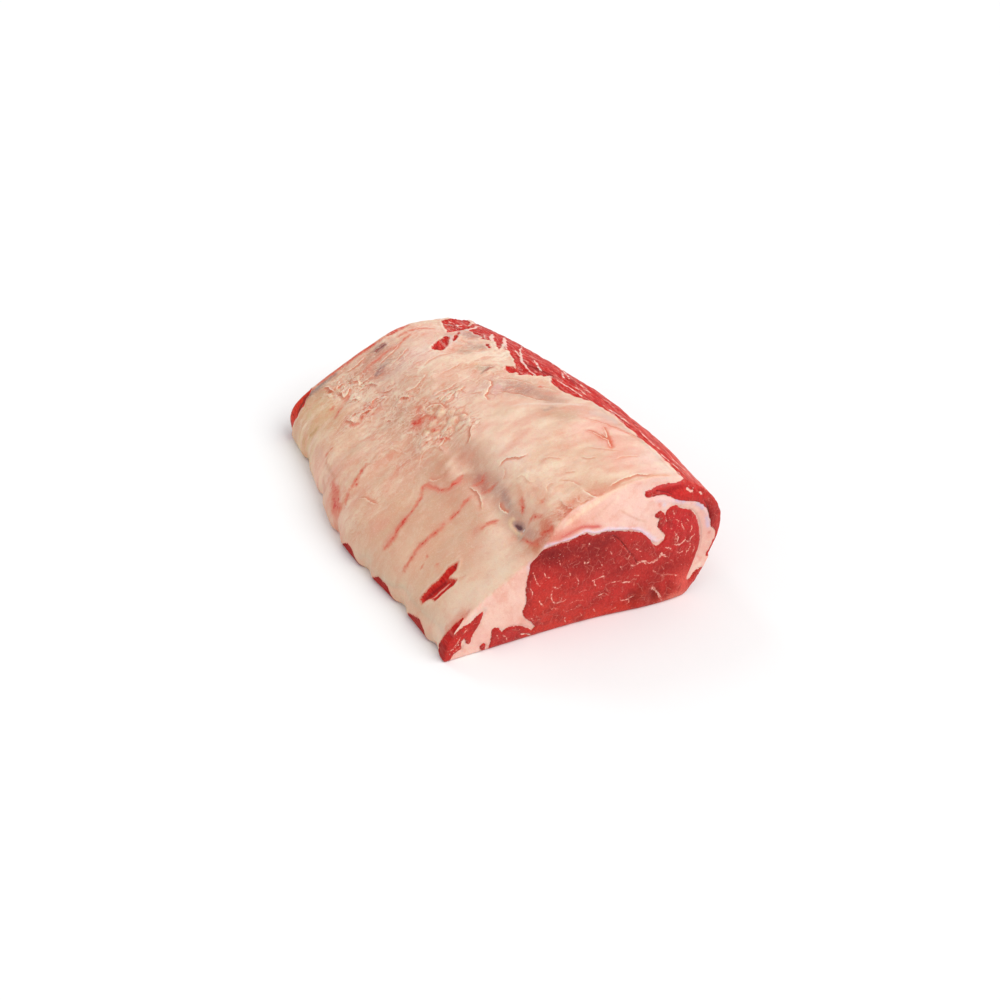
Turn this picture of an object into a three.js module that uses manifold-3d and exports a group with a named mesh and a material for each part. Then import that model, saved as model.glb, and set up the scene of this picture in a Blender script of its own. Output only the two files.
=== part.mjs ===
// Raw boneless beef rib roast, lip on: a fat cover that wraps four muscles, all of which run through the
// roast from one cut to the other.
//
// The shape is worked out in its own frame, in millimetres: X runs from the thin lip to the thick chine side,
// Y from the near cut to the far cut, and Z up from the table. At the end the whole group is moved so that its
// origin is at the middle of its footprint.
import * as THREE from "three";
import { mergeVertices } from "three/addons/utils/BufferGeometryUtils.js";
import Module from "manifold-3d";

const wasm = await Module();
wasm.setup();

// ---------------------------------------------------------------- driving dimensions

const LENGTH = 344; // near cut to far cut
const LIP_BOW = 16.5; // how far the lip swells outwards along its length
const LIP_BOW_AT = 172; // where along the length it swells most
const LIP_BOW_SPREAD = 88;
const CHINE_BOW = 12; // the same for the chine side, at mid length
const CROWN = 0.077; // extra height at mid length, as a share
const SOLE = 0; // height of the flat underside

const RIB_PITCH = 54; // spacing of the hollows that the boned-out ribs left
const FIRST_RIB = 19; // Y of the first one
const RIB_COUNT = 7;
const RIB_HALF_WIDTH = 13;
const RIB_DEPTH = 5; // at the middle of the underside
const SCALLOP = 1.7; // how far the meat between the ribs bulges out at the lip's foot, and dips at a rib

const FURROW_X = 73; // the long furrow between the lip slab and the crown
const FURROW_HALF_WIDTH = 11;
const FURROW_DEPTH = 5;
const FURROW_END = 215; // Y where it has faded out
const PIT = { x: 75, y: 30, radius: 6, depth: 4 }; // the small sunken spot in the furrow

const RELIEF_FROM = 14; // the top's relief fades in over this height
const RELIEF_OVER = 18;
const SLAB_WAVE = 0.8; // the lip slab's swell over and between the ribs' hollows, half of it each way
const SLAB_EDGE = 70; // X where that swell ends
const SLAB_FADE = 40;
const LIP_FOOT_HEIGHT = 26; // the scallops reach up to here
const LIP_FOOT_WIDTH = 30; // and in to this X
const SOLE_EDGES = { lip: -14, chine: 222, lipFade: 34, chineFade: 46 }; // X range of the ribs' hollows

const NEAR_LEAN = 8; // the near cut's upper edge leans back by this
const LEAN_FROM = 86; // height where the lean starts
const LEAN_OVER = 26;
const FOOT_BULGE = { depth: 7, x: 182, spread: 48, height: 45 }; // the near cut's foot swells out
const FACE_BULGE = 4; // each cut swells by this at its middle
const CUT_MIDDLE = { near: [126, 46], far: [108, 34] }; // the middle of each cut, X and Z

const GAP = 0.35; // clearance between neighbouring solids
const RIM_BEVEL = 1.6; // the cuts' edges are broken by this
const RIM_INSET = 2.2; // and this far along the length

const AROUND_TOP = 3; // steps between the outline's knots over the top
const AROUND_SOLE = 2; // and along the flat underside
const RINGS = 4; // rings on each cut
const MUSCLE_STEPS = 2; // steps between a muscle outline's knots
const MUSCLE_STATIONS = 9;
const OVERSHOOT = 25; // muscle tubes run past both cuts by this before they are trimmed

// ---------------------------------------------------------------- outlines
// Each outline is a loop of knots [x, z], anticlockwise seen from the far end and given at the near and the far cut.
// It starts at the foot of the lip, climbs over the crown and comes back along the underside.

const BODY = {
  near: [
    [6, -2], [0, 8], [8, 26], [28, 45], [54, 63], [78, 84], [101, 100], [127, 108], [153, 112], [178, 111],
    [200, 104.5], [220, 91], [233, 71], [234, 50], [225, 28], [212, 8], [192, -2], [150, -2], [100, -2], [50, -2],
  ],
  far: [
    [5, -2], [-2.5, 10], [4, 28], [23, 43], [48, 56], [72, 68], [94, 77], [116, 82], [136, 82], [156, 79],
    [174, 72], [190, 62], [200, 48], [202, 34], [197, 19], [187, 6], [171, -2], [136, -2], [95, -2], [50, -2],
  ],
};
const SOLE_KNOT = 16; // from this knot on the outline is the flat underside

// The big eye muscle, with the cleft of fat in its upper edge. It is bare on the underside.
const EYE = {
  near: [
    [86, -12], [72, 12], [65, 32], [68, 58], [80, 79], [104, 84], [132, 81], [153, 75], [169, 57], [181, 56],
    [178, 74], [190, 85], [206, 78], [215, 62], [215, 42], [206, 18], [198, -12], [140, -16],
  ],
  far: [
    [80, -12], [68, 9], [62, 25], [66, 40], [78, 54], [98, 60], [118, 61], [134, 58], [147, 48], [156, 48],
    [158, 58], [166, 63], [178, 58], [187, 46], [188, 30], [183, 14], [176, -12], [126, -16],
  ],
};

// The flat muscle over the chine side, bare from the crown's right-hand slope down to the foot.
const CAP = {
  near: [
    [165, 103], [177, 109], [193, 106.5], [207, 112], [232, 104], [248, 70], [244, 30], [224, -8], [206, -6],
    [217, 24], [226, 44], [226, 60], [219, 77], [207, 87], [192, 95], [176, 99],
  ],
  far: [
    [132, 73], [143, 79], [158, 80], [178, 86], [204, 74], [218, 50], [212, 18], [196, -8], [182, -6],
    [190, 16], [196, 30], [196, 41], [189, 53], [178, 64], [163, 71], [147, 73],
  ],
};

// The strip of meat along the underside of the lip.
const LIP = {
  near: [[33, -8], [36, 9], [42, 18], [52, 14.5], [61, 10], [69, 3], [72, -8], [52, -12]],
  far: [[29, -8], [31, 8], [37, 14], [47, 11.5], [56, 8], [64, 2], [67, -8], [47, -12]],
};

// The thin muscle just under the fat of the lip's slope.
const FLANK = {
  near: [[-4, 5], [-1, 14], [10, 25.5], [24, 37.5], [34, 42], [29, 33], [20, 20], [11, 9]],
  far: [[5, 9], [6, 17], [11, 26], [23, 36], [32, 39], [27, 30], [20, 19], [13, 10]],
};

// The knife nick in the fat that lays the flank muscle bare: a long narrow hollow down the slope.
const NICK = { x: 14.5, y: 44.5, z: 37.5, half: [27, 4, 4.4], slopeDeg: -41, turnDeg: 3 };

// ---------------------------------------------------------------- small helpers

const clamp01 = (v) => Math.min(1, Math.max(0, v));
const smooth = (v) => clamp01(v) ** 2 * (3 - 2 * clamp01(v));
const bell = (v) => Math.exp(-v * v);

// The outline's knots at share t of the length.
function knotsAt(outline, t) {
  return outline.near.map(([x, z], i) => {
    const [farX, farZ] = outline.far[i];
    return swell(x * (1 - t) + farX * t, z * (1 - t) + farZ * t, t);
  });
}

// Moves a straight run's point [x, z] by the roast's own swelling at share t of the length.
function swell(x, z, t) {
  const middle = 4 * t * (1 - t);
  const lipSide = clamp01(1 - x / 110);
  const chineSide = clamp01((x - 110) / 100);
  const ends = bell(LIP_BOW_AT / LIP_BOW_SPREAD);
  const bow = (bell((t * LENGTH - LIP_BOW_AT) / LIP_BOW_SPREAD) - ends) / (1 - ends);
  return [x - LIP_BOW * lipSide * bow + CHINE_BOW * chineSide * middle, z * (1 + CROWN * middle)];
}

// A smooth closed line through knots, with stepsAfter(i) points from knot i to the next.
function roundLoop(knots, stepsAfter) {
  const line = new THREE.CatmullRomCurve3(
    knots.map(([x, z]) => new THREE.Vector3(x, 0, z)),
    true,
    "catmullrom",
    0.5,
  );
  const points = [];
  knots.forEach((_, i) => {
    const steps = stepsAfter(i);
    for (let k = 0; k < steps; k++) {
      const p = line.getPoint((i + k / steps) / knots.length);
      points.push([p.x, p.z]);
    }
  });
  return points;
}

// The loop moved outwards by a distance, along its own normals.
function offsetLoop(loop, distance) {
  const n = loop.length;
  return loop.map(([x, z], i) => {
    const [ax, az] = loop[(i + n - 1) % n];
    const [bx, bz] = loop[(i + 1) % n];
    const length = Math.hypot(bx - ax, bz - az);
    return [x - (distance * (bz - az)) / length, z + (distance * (bx - ax)) / length];
  });
}

// ---------------------------------------------------------------- relief

const ribAt = (i) => FIRST_RIB + i * RIB_PITCH;

// 1 over the middle of a rib's hollow, 0 between the hollows.
function ribHollow(y) {
  const nearest = Math.min(RIB_COUNT - 1, Math.max(0, Math.round((y - FIRST_RIB) / RIB_PITCH)));
  const off = Math.abs(y - ribAt(nearest)) / RIB_HALF_WIDTH;
  return off < 1 ? 0.5 + 0.5 * Math.cos(Math.PI * off) : 0;
}

// The fat's broad lumps: a sum of slow waves, about 1 mm either way.
function lumps(x, y) {
  return (
    0.6 * Math.sin(x / 17 + y / 41) * Math.cos(y / 23 - x / 60) +
    0.5 * Math.sin(y / 13.5 + x / 31 + 1.3) * Math.cos(x / 12.5 + 0.7)
  );
}

// How far the top surface sinks (negative) or rises at x, y.
function topRelief(x, y) {
  const furrow = -FURROW_DEPTH * bell((x - FURROW_X) / FURROW_HALF_WIDTH) * smooth((FURROW_END - y) / 120);
  const pit = -PIT.depth * bell(Math.hypot(x - PIT.x, y - PIT.y) / PIT.radius);
  const slab = SLAB_WAVE * clamp01((SLAB_EDGE - x) / SLAB_FADE) * (1 - 2 * ribHollow(y));
  return furrow + pit + slab + lumps(x, y);
}

// The skin's point for outline point [x, z] at share t of the length.
function skinPoint([x, z], t) {
  const y = t * LENGTH;
  const top = smooth((z - RELIEF_FROM) / RELIEF_OVER);
  const lipFoot = (1 - smooth(z / LIP_FOOT_HEIGHT)) * smooth(1 - x / LIP_FOOT_WIDTH);
  const fromLip = smooth((x - SOLE_EDGES.lip) / SOLE_EDGES.lipFade);
  const fromChine = smooth((SOLE_EDGES.chine - x) / SOLE_EDGES.chineFade);
  const underside = clamp01(1 - z / 3) * fromLip * fromChine;
  const px = x - SCALLOP * lipFoot * (1 - 2 * ribHollow(y));
  const pz = Math.max(SOLE, z + top * topRelief(x, y)) + RIB_DEPTH * underside * ribHollow(y);
  return [px, y + cutShape(x, z, t), pz];
}

// How far the cuts at both ends stand off their planes.
function cutShape(x, z, t) {
  const lean = NEAR_LEAN * smooth((z - LEAN_FROM) / LEAN_OVER);
  const foot = bell((x - FOOT_BULGE.x) / FOOT_BULGE.spread) * smooth(1 - z / FOOT_BULGE.height);
  return (lean - FOOT_BULGE.depth * foot) * (1 - t) ** 4;
}

// ---------------------------------------------------------------- solids

// A closed geometry from rows of points, each row a loop, and a middle point at each end.
function closedGeometry(rows, firstMiddle, lastMiddle) {
  const around = rows[0].length;
  const positions = [...rows.flat(), firstMiddle, lastMiddle].flat();
  const first = rows.length * around;
  const index = [];
  for (let r = 0; r + 1 < rows.length; r++) {
    for (let i = 0; i < around; i++) {
      const a = r * around + i;
      const b = r * around + ((i + 1) % around);
      index.push(a, b, a + around, b, b + around, a + around);
    }
  }
  for (let i = 0; i < around; i++) {
    const next = (i + 1) % around;
    index.push(first, next, i);
    index.push(first + 1, (rows.length - 1) * around + i, (rows.length - 1) * around + next);
  }
  const geometry = new THREE.BufferGeometry();
  geometry.setAttribute("position", new THREE.Float32BufferAttribute(positions, 3));
  geometry.setIndex(index);
  return geometry;
}

function solidFrom(geometry) {
  const bare = geometry.clone();
  bare.deleteAttribute("normal");
  bare.deleteAttribute("uv");
  const merged = mergeVertices(bare, 1e-4);
  const mesh = new wasm.Mesh({
    numProp: 3,
    vertProperties: new Float32Array(merged.attributes.position.array),
    triVerts: new Uint32Array(merged.index.array),
  });
  return new wasm.Manifold(mesh);
}

// The largest piece of a solid: cuts can leave thin scraps where two skins nearly meet.
function mainPiece(solid) {
  return solid.decompose().reduce((a, b) => (b.volume() > a.volume() ? b : a));
}

// Y positions of the skin's rows: close together where a rib's hollow needs them.
function rowStations() {
  const steps = [-1, -0.5, 0, 0.5, 1];
  const wanted = [RIM_INSET, LENGTH - RIM_INSET];
  for (let i = 0; i < RIB_COUNT; i++) {
    steps.forEach((s) => wanted.push(ribAt(i) + s * RIB_HALF_WIDTH));
  }
  return wanted
    .filter((y) => y >= RIM_INSET && y <= LENGTH - RIM_INSET)
    .sort((a, b) => a - b)
    .map((y) => y / LENGTH);
}

// The whole roast as one closed skin.
function bodySolid() {
  const stepsAfter = (i) => (i >= SOLE_KNOT ? AROUND_SOLE : AROUND_TOP);
  const loopAt = (t) => roundLoop(knotsAt(BODY, t), stepsAfter);
  const rows = [];
  const cutRows = (t, [mx, mz], outwards) => {
    const loop = offsetLoop(loopAt(t), -RIM_BEVEL);
    const made = [];
    for (let k = 0; k < RINGS; k++) {
      const share = 1 - k / RINGS;
      const bulge = outwards * FACE_BULGE * (1 - share ** 2);
      made.push(
        loop.map(([x, z]) => {
          const flat = [mx + (x - mx) * share, mz + (z - mz) * share];
          const [px, py, pz] = skinPoint([x, z], t);
          const y = t * LENGTH + cutShape(...flat, t) + bulge;
          return [mx + (px - mx) * share, y, mz + (pz - mz) * share];
        }),
      );
    }
    return { made, middle: [mx, t * LENGTH + cutShape(mx, mz, t) + outwards * FACE_BULGE, mz] };
  };
  const near = cutRows(0, CUT_MIDDLE.near, -1);
  const far = cutRows(1, CUT_MIDDLE.far, 1);
  rows.push(...near.made.reverse());
  rowStations().forEach((t) => rows.push(loopAt(t).map((p) => skinPoint(p, t))));
  rows.push(...far.made);
  return solidFrom(closedGeometry(rows, near.middle, far.middle));
}

// A muscle as a tube through the whole length and past both cuts, made fatter by grow.
function muscleTube(outline, grow) {
  const rows = [];
  for (let k = 0; k < MUSCLE_STATIONS; k++) {
    const t = k / (MUSCLE_STATIONS - 1);
    const y = -OVERSHOOT + t * (LENGTH + 2 * OVERSHOOT);
    const loop = roundLoop(knotsAt(outline, clamp01(y / LENGTH)), () => MUSCLE_STEPS);
    rows.push(offsetLoop(loop, grow).map(([x, z]) => [x, y, z]));
  }
  const middleOf = (row) => {
    const sum = row.reduce((a, p) => [a[0] + p[0], a[1] + p[1], a[2] + p[2]]);
    return sum.map((v) => v / row.length);
  };
  return solidFrom(closedGeometry(rows, middleOf(rows[0]), middleOf(rows[rows.length - 1])));
}

// The knife nick's hollow: a stretched ball laid along the slope.
function nickSolid() {
  const ball = new THREE.SphereGeometry(1, 14, 8);
  ball.scale(...NICK.half);
  ball.rotateY(THREE.MathUtils.degToRad(NICK.slopeDeg));
  ball.rotateZ(THREE.MathUtils.degToRad(NICK.turnDeg));
  ball.translate(NICK.x, NICK.y, NICK.z);
  return solidFrom(ball);
}

function geometryOf(solid) {
  const mesh = solid.getMesh();
  const geometry = new THREE.BufferGeometry();
  geometry.setAttribute("position", new THREE.BufferAttribute(new Float32Array(mesh.vertProperties), 3));
  geometry.setIndex(new THREE.BufferAttribute(new Uint32Array(mesh.triVerts), 1));
  geometry.computeVertexNormals();
  return geometry;
}

// ---------------------------------------------------------------- materials and assembly

const MATERIALS = {
  fat: new THREE.MeshStandardMaterial({ color: 0xe0b69a, roughness: 0.5, metalness: 0 }),
  lean: new THREE.MeshStandardMaterial({ color: 0xb43c36, roughness: 0.38, metalness: 0 }),
};
const MUSCLES = { eye_muscle: EYE, cap_muscle: CAP, lip_muscle: LIP, flank_muscle: FLANK };

const roast = new THREE.Group();
const body = bodySolid();
let fat = body.subtract(nickSolid());
for (const [name, outline] of Object.entries(MUSCLES)) {
  fat = fat.subtract(muscleTube(outline, GAP));
  const muscle = new THREE.Mesh(geometryOf(mainPiece(body.intersect(muscleTube(outline, 0)))), MATERIALS.lean);
  muscle.name = name;
  roast.add(muscle);
}
const cover = new THREE.Mesh(geometryOf(mainPiece(fat)), MATERIALS.fat);
cover.name = "fat_cover";
roast.add(cover);

// The origin goes to the middle of the footprint, at table height.
const box = new THREE.Box3().setFromObject(roast);
const middle = box.getCenter(new THREE.Vector3());
roast.position.set(-middle.x, -middle.y, -box.min.z);

export default roast;
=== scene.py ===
import math

import bpy
import numpy as np
from mathutils import Matrix, Vector
from mathutils.geometry import delaunay_2d_cdt


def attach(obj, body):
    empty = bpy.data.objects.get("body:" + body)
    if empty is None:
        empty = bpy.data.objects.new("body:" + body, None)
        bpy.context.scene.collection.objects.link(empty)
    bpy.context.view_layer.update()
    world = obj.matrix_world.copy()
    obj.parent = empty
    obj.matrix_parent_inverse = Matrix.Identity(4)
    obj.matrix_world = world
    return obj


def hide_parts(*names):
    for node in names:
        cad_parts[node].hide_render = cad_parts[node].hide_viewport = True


# Looks of the raw boneless beef rib roast. Shapes are worked out in the loft's own millimetres: X from the
# thin lip to the thick chine side, Y from the near cut to the far cut, Z up. row() turns them into the
# frame's metres.
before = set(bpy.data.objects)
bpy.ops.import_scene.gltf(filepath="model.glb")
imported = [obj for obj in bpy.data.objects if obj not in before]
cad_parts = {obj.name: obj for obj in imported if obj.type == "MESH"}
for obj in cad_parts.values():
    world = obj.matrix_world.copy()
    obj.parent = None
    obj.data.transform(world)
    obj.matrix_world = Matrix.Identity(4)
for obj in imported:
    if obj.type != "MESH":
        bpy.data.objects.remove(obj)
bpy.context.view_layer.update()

MM = 0.001
FOOTPRINT_MIDDLE = np.array([108.281, 170.223, 0.0])  # the loft point that lies at the frame's origin


def row(points):
    """Loft millimetres as metres in the frame."""
    return (np.asarray(points, float) - FOOTPRINT_MIDDLE) * MM


# ---------------------------------------------------------------- camera

LOOK_AT = (95.2, 107.8, 50.0)
CAMERA_TURN = math.radians(-25.1)
CAMERA_RISE = math.radians(36)
CAMERA_REACH = 1350
PICTURE_WIDTH = 1000  # pixels
FOCAL_LENGTH = 1697  # pixels
SENSOR_WIDTH = 36

towards_camera = np.array([
    math.sin(CAMERA_TURN) * math.cos(CAMERA_RISE),
    -math.cos(CAMERA_TURN) * math.cos(CAMERA_RISE),
    math.sin(CAMERA_RISE),
])
camera = bpy.data.objects.new("camera", bpy.data.cameras.new("camera"))
camera.data.sensor_width = SENSOR_WIDTH
camera.data.lens = FOCAL_LENGTH / PICTURE_WIDTH * SENSOR_WIDTH
camera.location = row(np.array(LOOK_AT) + towards_camera * CAMERA_REACH)
camera.rotation_euler = Vector(towards_camera).to_track_quat("Z", "Y").to_euler()
bpy.context.scene.collection.objects.link(camera)
bpy.context.scene.camera = camera

# ---------------------------------------------------------------- driving dimensions, as in part.mjs

LENGTH = 344
LIP_BOW = 16.5
LIP_BOW_AT = 172
LIP_BOW_SPREAD = 88
CHINE_BOW = 12
CROWN = 0.077
RIB_PITCH = 54
FIRST_RIB = 19
RIB_COUNT = 7
RIB_HALF_WIDTH = 13
RIB_DEPTH = 5
SCALLOP = 1.7
FURROW_X = 73
FURROW_HALF_WIDTH = 11
FURROW_DEPTH = 5
FURROW_END = 215
FURROW_FADE = 120
PIT = {"x": 75, "y": 30, "radius": 6, "depth": 4}
RELIEF_FROM = 14
RELIEF_OVER = 18
SLAB_WAVE = 0.8
SLAB_EDGE = 70
SLAB_FADE = 40
LIP_FOOT_HEIGHT = 26
LIP_FOOT_WIDTH = 30
SOLE_EDGES = {"lip": -14, "chine": 222, "lip_fade": 34, "chine_fade": 46}
NEAR_LEAN = 8
LEAN_FROM = 86
LEAN_OVER = 26
FOOT_BULGE = {"depth": 7, "x": 182, "spread": 48, "height": 45}
FACE_BULGE = 4
CUT_MIDDLE = {"near": (126, 46), "far": (108, 34)}
RIM_BEVEL = 1.6
RIM_INSET = 2.2
OVERSHOOT = 25

# Outlines [x, z] at the near and the far cut, anticlockwise seen from the far end.
BODY = {
    "near": [
        [6, -2], [0, 8], [8, 26], [28, 45], [54, 63], [78, 84], [101, 100], [127, 108], [153, 112],
        [178, 111], [200, 104.5], [220, 91], [233, 71], [234, 50], [225, 28], [212, 8], [192, -2],
        [150, -2], [100, -2], [50, -2],
    ],
    "far": [
        [5, -2], [-2.5, 10], [4, 28], [23, 43], [48, 56], [72, 68], [94, 77], [116, 82], [136, 82],
        [156, 79], [174, 72], [190, 62], [200, 48], [202, 34], [197, 19], [187, 6], [171, -2], [136, -2],
        [95, -2], [50, -2],
    ],
}
SOLE_KNOT = 16  # from this knot on the outline is the flat underside
SIDE_KNOT = 10  # from this knot to the underside it is the chine side
EYE = {
    "near": [
        [86, -12], [72, 12], [65, 32], [68, 58], [80, 79], [104, 84], [132, 81], [153, 75], [169, 57],
        [181, 56], [178, 74], [190, 85], [206, 78], [215, 62], [215, 42], [206, 18], [198, -12], [140, -16],
    ],
    "far": [
        [80, -12], [68, 9], [62, 25], [66, 40], [78, 54], [98, 60], [118, 61], [134, 58], [147, 48],
        [156, 48], [158, 58], [166, 63], [178, 58], [187, 46], [188, 30], [183, 14], [176, -12],
        [126, -16],
    ],
}
CAP = {
    "near": [
        [165, 103], [177, 109], [193, 106.5], [207, 112], [232, 104], [248, 70], [244, 30], [224, -8],
        [206, -6], [217, 24], [226, 44], [226, 60], [219, 77], [207, 87], [192, 95], [176, 99],
    ],
    "far": [
        [132, 73], [143, 79], [158, 80], [178, 86], [204, 74], [218, 50], [212, 18], [196, -8], [182, -6],
        [190, 16], [196, 30], [196, 41], [189, 53], [178, 64], [163, 71], [147, 73],
    ],
}
LIP = {
    "near": [[33, -8], [36, 9], [42, 18], [52, 14.5], [61, 10], [69, 3], [72, -8], [52, -12]],
    "far": [[29, -8], [31, 8], [37, 14], [47, 11.5], [56, 8], [64, 2], [67, -8], [47, -12]],
}
FLANK = {
    "near": [[-4, 5], [-1, 14], [10, 25.5], [24, 37.5], [34, 42], [29, 33], [20, 20], [11, 9]],
    "far": [[5, 9], [6, 17], [11, 26], [23, 36], [32, 39], [27, 30], [20, 19], [13, 10]],
}

# ---------------------------------------------------------------- mesh density

TOP_STEP = 1.25  # mm between the skin's points over the slope and the crown
SIDE_STEP = 1.8  # down the chine side
SOLE_STEP = 4  # along the underside
ROW_STEPS = (1.15, 1.5)  # between rows along the length, near and far
RIM_STEPS = 3
CUT_STEP = {"near": 0.95, "far": 1.35}
MUSCLE_STEPS = 6  # between a muscle outline's knots
MUSCLE_ROWS = 61

# ---------------------------------------------------------------- small helpers

NO_LEAN = -99.0  # the depth in mm where no lean is near
AWAY = 9.0  # the distance in mm where no flap, vein or slit is near
FILM_AWAY = 6.0  # and where no film or strand of marbling is near

def smooth(v):
    """A soft step: 0 up to 0, 1 from 1 on."""
    v = np.clip(v, 0, 1)
    return v * v * (3 - 2 * v)


def bell(v):
    """1 at 0, falling off softly on both sides."""
    return np.exp(-v * v)


def blob(u, v, ellipse):
    """1 in the middle of a soft ellipse, given by its middle and half sizes, falling off round it."""
    cu, cv, ru, rv = ellipse
    return bell(np.hypot((u - cu) / ru, (v - cv) / rv))


def taper(share, ends, steep=5):
    """1 over the middle of a line and down to the value of ends at both its ends."""
    return ends + (1 - ends) * smooth(share * steep) * smooth((1 - share) * steep)


def noise(points, size, seed):
    """Gradient noise of the points, from about -1 to 1, with lumps of the given size."""
    draw = np.random.default_rng(seed)
    table = draw.permutation(256)
    slopes = draw.normal(size=(256, 3))
    slopes /= np.linalg.norm(slopes, axis=1)[:, None]
    place = points / size
    cell = np.floor(place).astype(int)
    within = place - cell
    ease = within**3 * (within * (within * 6 - 15) + 10)
    total = np.zeros(len(points))
    for corner in np.ndindex(2, 2, 2):
        near = cell + corner
        pick = table[(table[(table[near[:, 0] & 255] + near[:, 1]) & 255] + near[:, 2]) & 255]
        weight = np.prod(np.where(corner, ease, 1 - ease), axis=1)
        total += weight * np.einsum("ij,ij->i", slopes[pick], within - corner)
    return total * 1.6


def layered(points, size, seed, layers=3):
    """Noise with finer and weaker layers added."""
    total = np.zeros(len(points))
    for k in range(layers):
        total += noise(points, size / 2**k, seed + k) / 2**k
    return total


def stretched(points, along, across, direction):
    """The points scaled so that noise of size 1 has lumps of size along by across a direction."""
    d = np.array(direction, float)
    d /= np.linalg.norm(d)
    share = points @ d
    return (points - share[:, None] * d) / across + (share / along)[:, None] * d


def distance_to(line, points):
    """Each 2-D point's distance to a line of straight runs."""
    line = np.array(line, float)
    best = np.full(len(points), np.inf)
    for a, b in zip(line[:-1], line[1:]):
        run = b - a
        share = np.clip((points - a) @ run / (run @ run), 0, 1)
        best = np.minimum(best, np.hypot(*(points - a - share[:, None] * run).T))
    return best


def near_line(line, points, reach, steps=4):
    """The 2-D points within reach of a line: their indexes, distance (positive to the left) and share."""
    line = curved(line, steps)
    found = np.flatnonzero(((points > line.min(0) - reach) & (points < line.max(0) + reach)).all(1))
    spots = points[found]
    best = np.full(len(found), np.inf)
    side = np.ones(len(found))
    share = np.zeros(len(found))
    runs = np.diff(line, axis=0)
    lengths = np.hypot(*runs.T)
    begun = np.cumsum(lengths) - lengths
    for k, (begin, run) in enumerate(zip(line, runs)):
        off = spots - begin
        part = np.clip(off @ run / (run @ run), 0, 1)
        away = np.hypot(*(off - part[:, None] * run).T)
        closer = away < best
        best[closer] = away[closer]
        side[closer] = np.where(run[0] * off[:, 1] - run[1] * off[:, 0] < 0, -1, 1)[closer]
        share[closer] = ((begun[k] + part * lengths[k]) / lengths.sum())[closer]
    close = best < reach
    return found[close], (best * side)[close], share[close]


def knot_weights(u):
    """How much the knots before, at, after and beyond count at share u of the run between two knots."""
    return (
        -0.5 * u + u**2 - 0.5 * u**3,
        1 - 2.5 * u**2 + 1.5 * u**3,
        0.5 * u + 2 * u**2 - 1.5 * u**3,
        -0.5 * u**2 + 0.5 * u**3,
    )


def curved(points, steps):
    """A line through the points with its corners rounded."""
    points = np.array(points, float)
    if len(points) < 3:
        return points
    ends = np.vstack([2 * points[0] - points[1], points, 2 * points[-1] - points[-2]])
    weights = knot_weights(np.arange(steps)[:, None] / steps)
    runs = zip(ends[:-3], ends[1:-2], ends[2:-1], ends[3:])
    return np.vstack([sum(w * knot for w, knot in zip(weights, knots)) for knots in runs] + [points[-1:]])


def distance_to_curve(line, points):
    """Each 2-D point's distance to a line with its corners rounded."""
    return distance_to(curved(line, 3), points)


def edge_distance(lines, points, most, reach, ends, steep=5, steps=4):
    """Each 2-D point's distance to the edge of the nearest tapered line, in mm: negative inside it."""
    best = np.full(len(points), most)
    for half_width, line in lines:
        found, off, share = near_line(line, points, reach, steps)
        best[found] = np.minimum(best[found], np.abs(off) - half_width * taper(share, ends, steep))
    return best


def srgb(r, g, b):
    """A colour given in the usual 0 to 255, as linear light."""
    c = np.array([r, g, b]) / 255
    return np.where(c <= 0.04045, c / 12.92, ((c + 0.055) / 1.055) ** 2.4)


# ---------------------------------------------------------------- the roast's form


def swell(x, z, t):
    """Bows both long sides outwards and crowns the top between the cuts."""
    middle = 4 * t * (1 - t)
    lip_side = np.clip(1 - x / 110, 0, 1)
    chine_side = np.clip((x - 110) / 100, 0, 1)
    ends = bell(LIP_BOW_AT / LIP_BOW_SPREAD)
    bow = (bell((t * LENGTH - LIP_BOW_AT) / LIP_BOW_SPREAD) - ends) / (1 - ends)
    return x - LIP_BOW * lip_side * bow + CHINE_BOW * chine_side * middle, z * (1 + CROWN * middle)


def knots_at(outline, t):
    """The outline's knots at the shares t of the length: one loop of [x, z] for each."""
    near = np.array(outline["near"], float)
    far = np.array(outline["far"], float)
    t = np.reshape(t, (-1, 1))
    x, z = swell(near[:, 0] * (1 - t) + far[:, 0] * t, near[:, 1] * (1 - t) + far[:, 1] * t, t)
    return np.stack([x, z], -1)


def loop_weights(steps):
    """Weights that turn a loop's knots into a smooth loop with steps[i] points from knot i to the next."""
    count = len(steps)
    weights = []
    for i, parts in enumerate(steps):
        for k in range(parts):
            w = np.zeros(count)
            for offset, weight in zip((-1, 0, 1, 2), knot_weights(k / parts)):
                w[(i + offset) % count] += weight
            weights.append(w)
    return np.array(weights)


def outward(loops):
    """The outward direction in the XZ plane at each point of each loop."""
    run = np.roll(loops, -1, axis=-2) - np.roll(loops, 1, axis=-2)
    length = np.hypot(run[..., 0], run[..., 1])
    return np.stack([-run[..., 1] / length, run[..., 0] / length], -1)


def rib_hollow(y):
    """1 over the middle of a rib's hollow, 0 between the hollows."""
    nearest = np.clip(np.round((y - FIRST_RIB) / RIB_PITCH), 0, RIB_COUNT - 1)
    off = np.abs(y - FIRST_RIB - nearest * RIB_PITCH) / RIB_HALF_WIDTH
    return np.where(off < 1, 0.5 + 0.5 * np.cos(np.pi * off), 0)


def waves(x, y):
    """The slow unevenness of the whole top."""
    broad = 0.6 * np.sin(x / 17 + y / 41) * np.cos(y / 23 - x / 60)
    return broad + 0.5 * np.sin(y / 13.5 + x / 31 + 1.3) * np.cos(x / 12.5 + 0.7)


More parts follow.
